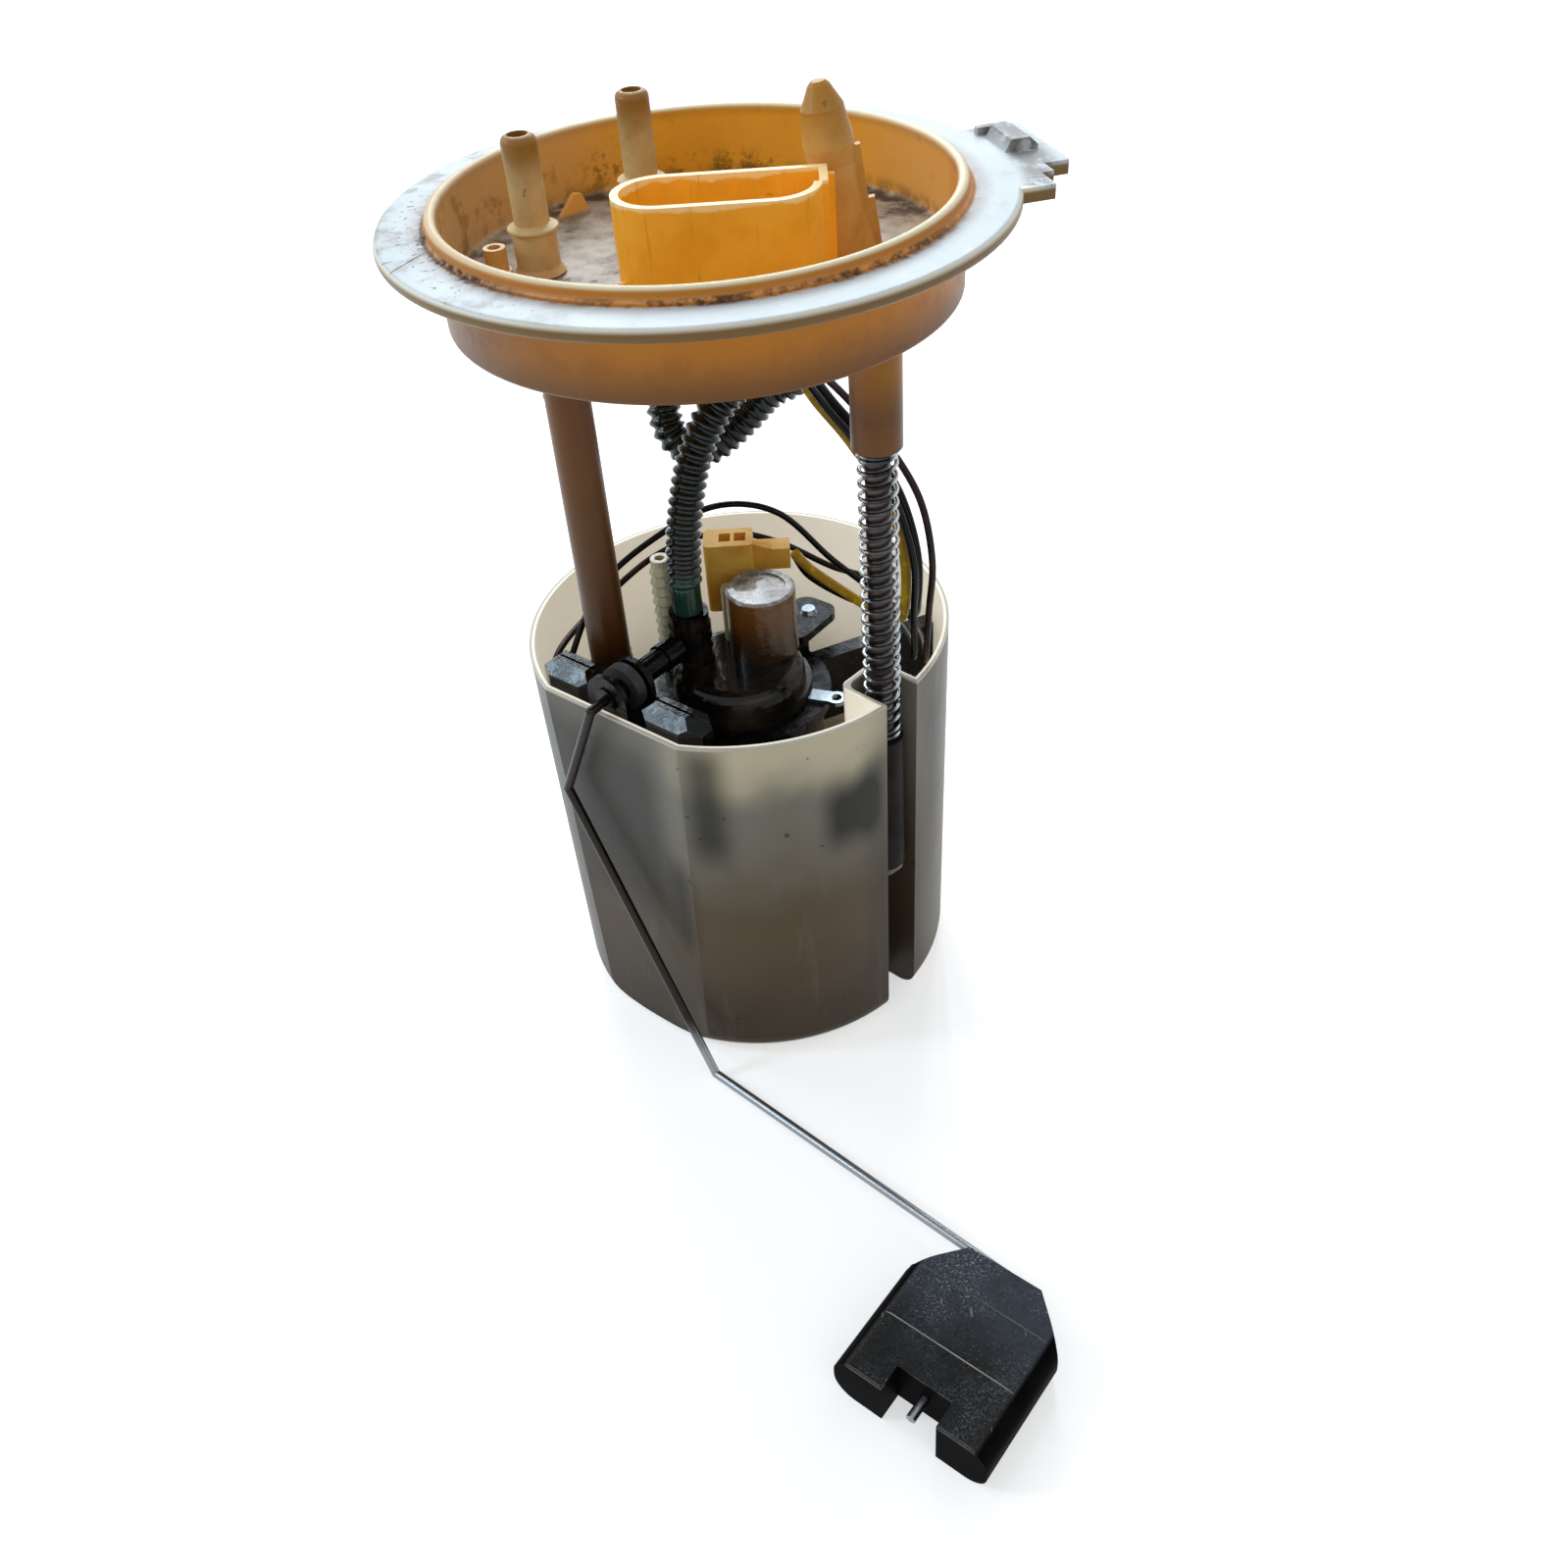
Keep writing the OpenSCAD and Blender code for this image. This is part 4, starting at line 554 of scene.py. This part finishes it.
def aged_acetal(name, light, dark, stain, low, high, milky=0.05, streaks=0.0, **fixed):
    """Acetal that has darkened from low to high, in metres above the sealing face."""
    place = begin(name)
    x, y, z = axes(place)
    blotch = cloud(place, 0.009, 5, 0.6)
    fine = cloud(place, 0.0012, 3)
    colour = blend_tones(blotch.rise(0.35, 0.7), tone(light), tone(dark))
    colour = blend_tones((z + (blotch - 0.5) * 0.004).rise(low, high), colour, tone(stain))
    drips = cloud(place, 0.0016, 3, 0.6, (1, 1, 0.08)).rise(0.60, 0.72) * streaks
    dirt = (1 - cloud(place, 0.004, 3, 0.5).rise(0.26, 0.30)) * 0.5
    colour = blend_tones(drips.math("MAXIMUM", drips, dirt), colour, tone("5b3a17"))
    # A painted amber glow for the pieces that are given an emission strength
    if "Emission_Strength" in fixed:
        fixed["Emission_Color"] = tone("eba41c")
    return close(colour, 0.3 + blotch * 0.15, fine * 0.5 + blotch * 0.5, 0.00012, Specular_IOR_Level=0.3,
                 Subsurface_Weight=milky, Subsurface_Radius=(0.004, 0.0025, 0.001), **fixed)


coat(aged_acetal("shroud_acetal", "eba93a", "dc9628", "f4dfae", 0.0098, 0.0106, 0.1, 0.35,
                 Emission_Strength=0.2), "connector_shroud")
coat(aged_acetal("spigot_acetal", "dcc08c", "c8a76c", "9c6f2c", 0.006, 0.0175),
     "supply_spigot", "return_spigot")
coat(aged_acetal("nipple_acetal", "dfae62", "cc9a48", "bb8430", 0.010, 0.022),
     "heater_nipple", "vent_stub")
coat(metal("terminal_brass", "b59a62", "8a7344", 0.4), "connector_terminals")
coat(moulded("plug_black", "2a2a29", "1b1b1b"), "harness_plug")

# Guides
# The dark steel rod in its amber socket, the sleeve that it slides in, the brown guide tube, and the bright
# compression spring round the rod.
coat(aged_acetal("socket_acetal", "764812", "643c0f", "a86c14", -0.034, -0.018, 0.0), "rod_socket")
coat(aged_acetal("tube_acetal", "341c09", "281507", "6f420e", -0.130, -0.03, 0.0), "guide_tube")
coat(metal("rod_steel", "5e5553", "453e3c", 0.35, (1, 1, 0.2)), "guide_rod", "rod_stop_clip")
coat(moulded("sleeve_plastic", "292420", "151210", 0.6, Specular_IOR_Level=0.08), "rod_sleeve")

rod_at = (0.03668, -0.03361)
spring_low, spring_high = -0.1232, -0.0428
coil_radius = 0.0043
spring_gauge = 0.00105
turns = 26
end_turns = 1.5
# The end turns lie this far apart
lying_pitch = spring_gauge * 1.05
steps_per_turn = 36


def swept(name, points, radii, sides):
    """A closed tube mesh along the points, one radius for each."""
    points = [Vector(p) for p in points]
    vertices, faces = [], []
    side = Vector((1, 0.2, 0.1))
    for i, point in enumerate(points):
        ahead = (points[min(i + 1, len(points) - 1)] - points[max(i - 1, 0)]).normalized()
        side = (side - side.dot(ahead) * ahead).normalized()
        other = ahead.cross(side)
        for k in range(sides):
            turn = 2 * math.pi * k / sides
            vertices.append(point + radii[i] * (math.cos(turn) * side + math.sin(turn) * other))
    for i in range(len(points) - 1):
        for k in range(sides):
            a, b = i * sides + k, i * sides + (k + 1) % sides
            faces.append((a, b, b + sides, a + sides))
    last = (len(points) - 1) * sides
    faces.append(tuple(reversed(range(sides))))
    faces.append(tuple(range(last, last + sides)))
    mesh = bpy.data.meshes.new(name)
    mesh.from_pydata(vertices, [], faces)
    mesh.polygons.foreach_set("use_smooth", [len(f) == 4 for f in faces])
    piece = bpy.data.objects.new(name, mesh)
    bpy.context.collection.objects.link(piece)
    return piece


def coil_height(turn):
    """Height of the spring wire: the end turns lie close together."""
    lying = end_turns * lying_pitch
    pitch = (spring_high - spring_low - 2 * lying) / (turns - 2 * end_turns)
    if turn < end_turns:
        return spring_low + turn * lying_pitch
    if turn > turns - end_turns:
        return spring_high - (turns - turn) * lying_pitch
    return spring_low + lying + (turn - end_turns) * pitch


def spring_steel():
    """Steel with a painted reflection: dark in front and behind, and bright at both sides."""
    place = begin("spring_steel")
    x, y, z = axes(place)
    aside = (x - rod_at[0]).math("ABSOLUTE", x - rod_at[0]) * (1 / coil_radius)
    dark_share = (1 - aside.rise(0.55, 0.98)) * (0.75 + cloud(place, 0.006, 3) * 0.4)
    return close(blend_tones(dark_share, tone("c3c8cb"), tone("262424")), 0.13 + dark_share * 0.2, None,
                 Metallic=1.0)


coil = []
for step in range(turns * steps_per_turn + 1):
    turned = step / steps_per_turn
    coil.append((rod_at[0] + coil_radius * math.cos(2 * math.pi * turned),
                 rod_at[1] + coil_radius * math.sin(2 * math.pi * turned), coil_height(turned)))
spring = swept("spring_coil", coil, [spring_gauge / 2] * len(coil), 10)
spring.data.materials.append(spring_steel())
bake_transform(spring)
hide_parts("guide_spring")

# Hoses
# Corrugated tubes of black-green plastic: one carries fuel from the pump's outlet in a loop to the supply
# spigot, the other leads from the return spigot down to the jet pump. Both are plain at their ends.
fuel_route = [
    (-12, -12, 128.4), (-12, -12, 137), (-11, -11, 149), (-9, -9, 160), (-6, -7, 170), (-1, -5, 179),
    (5, -3, 185), (13, 0, 188), (20, 5, 187), (22, 11, 182), (18, 15, 177), (12, 15, 174), (5, 15, 167),
    (-3, 14, 161), (-9, 14, 160), (-14, 16, 165), (-15.5, 20, 174), (-15, 24, 184), (-14.5, 26, 192),
    (-14.5, 26, 196.6)]
return_route = [
    (-36.8, -2, 196.6), (-37, -1.6, 186), (-36, 1, 165), (-36, 2, 145), (-36, 3, 120), (-35, 6, 95),
    (-32.5, 11, 65), (-32, 12, 48), (-32, 12, 39.9)]
# Depth of the pot's foot under the sealing face in millimetres, and the steps of a curve between two points
foot_depth = 225
curve_steps = 40


def smooth_path(route, gap):
    """Points about a gap apart along a smooth curve through a route in millimetres above the pot's foot."""
    knots = [Vector((x, y, z - foot_depth)) / 1000 for x, y, z in route]
    fine = []
    for i in range(len(knots) - 1):
        a, b, c, d = knots[max(i - 1, 0)], knots[i], knots[i + 1], knots[min(i + 2, len(knots) - 1)]
        for s in range(curve_steps):
            t = s / curve_steps
            fine.append(0.5 * (2 * b + (c - a) * t + (2 * a - 5 * b + 4 * c - d) * t * t
                               + (3 * b - a - 3 * c + d) * t ** 3))
    fine.append(knots[-1])
    walked = [0]
    for p, q in zip(fine, fine[1:]):
        walked.append(walked[-1] + (q - p).length)
    count = max(2, round(walked[-1] / gap))
    path, k = [], 0
    for i in range(count + 1):
        target = walked[-1] * i / count
        while k < len(fine) - 2 and walked[k + 1] < target:
            k += 1
        share = (target - walked[k]) / max(walked[k + 1] - walked[k], 1e-9)
        path.append(fine[k].lerp(fine[k + 1], share))
    return path, walked[-1]


def hose_plastic(name, light, dark, cuff, cuff_low, cuff_high):
    """Wet dark plastic with a green cuff between two heights."""
    place = begin(name)
    x, y, z = axes(place)
    film = cloud(place, 0.006, 4)
    colour = blend_tones(film.rise(0.35, 0.7), tone(dark), tone(light))
    colour = blend_tones(z.hump(cuff_low, cuff_high, 0.001), colour, tone(cuff))
    return close(colour, 0.12 + film * 0.16, film, 0.0002, Specular_IOR_Level=0.25, Coat_Weight=0.3,
                 Coat_Roughness=0.06)


ridge_pitch = 0.0026
ridge_height = 0.0012
valley_radius = 0.0034
plain_radius = 0.0040


def ridged_hose(name, route, plain_start, plain_end):
    path, length = smooth_path(route, ridge_pitch / 6)
    radii = []
    for i in range(len(path)):
        walked = length * i / (len(path) - 1)
        wave = 0.5 - 0.5 * math.cos(2 * math.pi * walked / ridge_pitch)
        plain = walked < plain_start or length - walked < plain_end
        radii.append(plain_radius if plain else valley_radius + ridge_height * wave ** 0.7)
    piece = swept(name, path, radii, 20)
    return piece, path, length


fuel_hose, path, length = ridged_hose("fuel_hose_ridged", fuel_route, 0.008, 0.006)
fuel_hose.data.materials.append(hose_plastic("hose_fuel", "16241f", "060a09", "1c3d32", -0.0966, -0.085))
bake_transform(fuel_hose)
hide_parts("fuel_hose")

return_hose, path, length = ridged_hose("return_hose_ridged", return_route, 0.01, 0.01)
return_hose.data.materials.append(hose_plastic("hose_return", "1c352c", "0a1310", "21493c", -0.19, -0.18))
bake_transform(return_hose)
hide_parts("return_hose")

# Wires
# Four insulated wires hang from the plug under the flange. The yellow and the black one end in the pump's
# plug, the two thin ones run round the back of the pot to the level sender.
wire_routes = {
    "yellow_wire": (2.6, "wire_yellow", "d2ad2a", "a8811a", [
        (13, -18, 199), (19.5, -11, 190), (24.5, -8, 181), (31.5, -10, 172), (39.5, -16, 160),
        (43.5, -20, 145), (43.5, -19.4, 130), (42, -12, 122), (37, -4, 119), (28, 3, 122), (20, 3.4, 129),
        (16.2, 2.8, 134.4)]),
    "black_wire": (2.4, "wire_black", "0e0f10", "060607", [
        (18, -18, 199), (22.5, -9.5, 190), (27.5, -6.5, 181), (34.7, -8.6, 172), (42.7, -14.6, 160),
        (46.7, -18.6, 145), (46.7, -18, 130), (46, -10, 122), (41, -1, 117), (30, 7, 117), (20, 7.8, 124),
        (16.2, 5.4, 132.3)]),
    "sender_wire_a": (1.8, "wire_black", "0e0f10", "060607", [
        (17, -22, 199), (21.6, -14, 190), (26.6, -11, 181), (33.6, -13, 172), (41.6, -19, 160),
        (45.6, -23, 145), (45.6, -22.4, 130), (46, -18, 114), (46, -2, 109), (38, 20, 109), (26, 27, 117),
        (12, 28, 132), (-4, 29, 135), (-20, 27, 129), (-38, 15, 120), (-47.5, -3, 106),
        (-47.6, -15.4, 101.9)]),
    "sender_wire_b": (1.8, "wire_brown", "3a1f16", "1b0f0b", [
        (21, -22, 199), (26.5, -13.5, 190), (33, -10.5, 181), (40.5, -13.5, 172), (47.5, -18.5, 160),
        (50.2, -21.6, 145), (49.6, -20.6, 130), (48.9, -17, 112), (49, 0, 108), (41, 24, 109), (26, 31, 112),
        (10, 32, 121), (-6, 33, 124), (-24, 29, 120), (-41, 16, 112), (-50.2, -4, 110),
        (-47.9, -15.3, 104.6)])}
for node, (gauge, slot, light, dark, route) in wire_routes.items():
    path, length = smooth_path(route, 0.0012)
    wire = swept(node + "_round", path, [gauge / 2000] * len(path), 12)
    wire.data.materials.append(wet(node + "_skin", light, dark, 0.22, 0.004, 0.00008))
    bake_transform(wire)
    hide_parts(node)

# Floor, lights and world
# A pale floor and white air all round. A window of narrow panes stands behind the object, two small ones
# stand at its left and shine on the wet dampers, and a weak fill light comes from the front.
floor_height = -0.22505
bpy.ops.object.select_all(action="DESELECT")
bpy.ops.mesh.primitive_plane_add(size=12, location=(0, 0, floor_height))
floor = bpy.context.object
floor.name = "studio_floor"


def plain_white(start):
    """1 for rays from the camera, off gloss and through clear pieces, which see white, and 0 for others."""
    seen, mirrored, passed = [start.node("LightPath", {}, {}, "Is %s Ray" % kind)
                              for kind in ("Camera", "Glossy", "Transmission")]
    return seen.math("MINIMUM", seen + mirrored + passed, 1)


paper = bpy.data.materials.new("studio_paper")
paper.use_nodes = True
paper.node_tree.nodes.clear()
paper_start = Shade(paper)
matt = paper_start.node("BsdfDiffuse", {}, {"Color": (0.8, 0.8, 0.8, 1)})
glow = paper_start.node("Emission", {}, {"Color": (1, 1, 1, 1), "Strength": plain_white(paper_start) * 0.54})
paper_start.node("AddShader", {}, {0: matt, 1: glow}).end()
floor.data.materials.append(paper)

world = bpy.data.worlds.new("studio_air")
bpy.context.scene.world = world
world.use_nodes = True
world.node_tree.nodes.clear()
air = Shade(world)
air.node("Background", {}, {"Color": (0.93, 0.97, 1, 1),
                            "Strength": 0.44 + plain_white(air) * 0.56}).end("OutputWorld")

# A window of five narrow panes behind, tall enough to shine on the flange and on the wet parts in the pot
# Each lamp: name, place, point it is aimed at, width, height, power in watts, colour
panes = [("window_pane_%d" % i, (x, 1.0, 0.85), (x, 0, -0.12), 0.045, 1.2, 2.9, (0.84, 0.93, 1))
         for i, x in enumerate((-0.35, -0.21, -0.07, 0.09, 0.23))]
for name, place, aim, width, height, power, colour in (
        *panes,
        ("window_left", (-1.0, 0.5, 0.55), (0, 0, -0.12), 0.3, 0.6, 2, (0.88, 0.95, 1)),
        ("window_far_left", (-0.97, -0.117, 0.557), (-0.03, -0.037, -0.105), 0.2, 0.18, 3.2, (0.68, 0.86, 1)),
        ("fill_light", (0.7, -1.1, 0.9), (0, 0, -0.1), 1.2, 1.2, 2, (1, 0.98, 0.95))):
    bpy.ops.object.light_add(type="AREA", location=place)
    lamp = bpy.context.object
    lamp.name = name
    lamp.data.shape = "RECTANGLE"
    lamp.data.size = width
    lamp.data.size_y = height
    lamp.data.energy = power
    lamp.data.color = colour
    lamp.rotation_euler = (Vector(aim) - Vector(place)).to_track_quat("-Z", "Y").to_euler()

bpy.context.scene.view_settings.view_transform = "Standard"
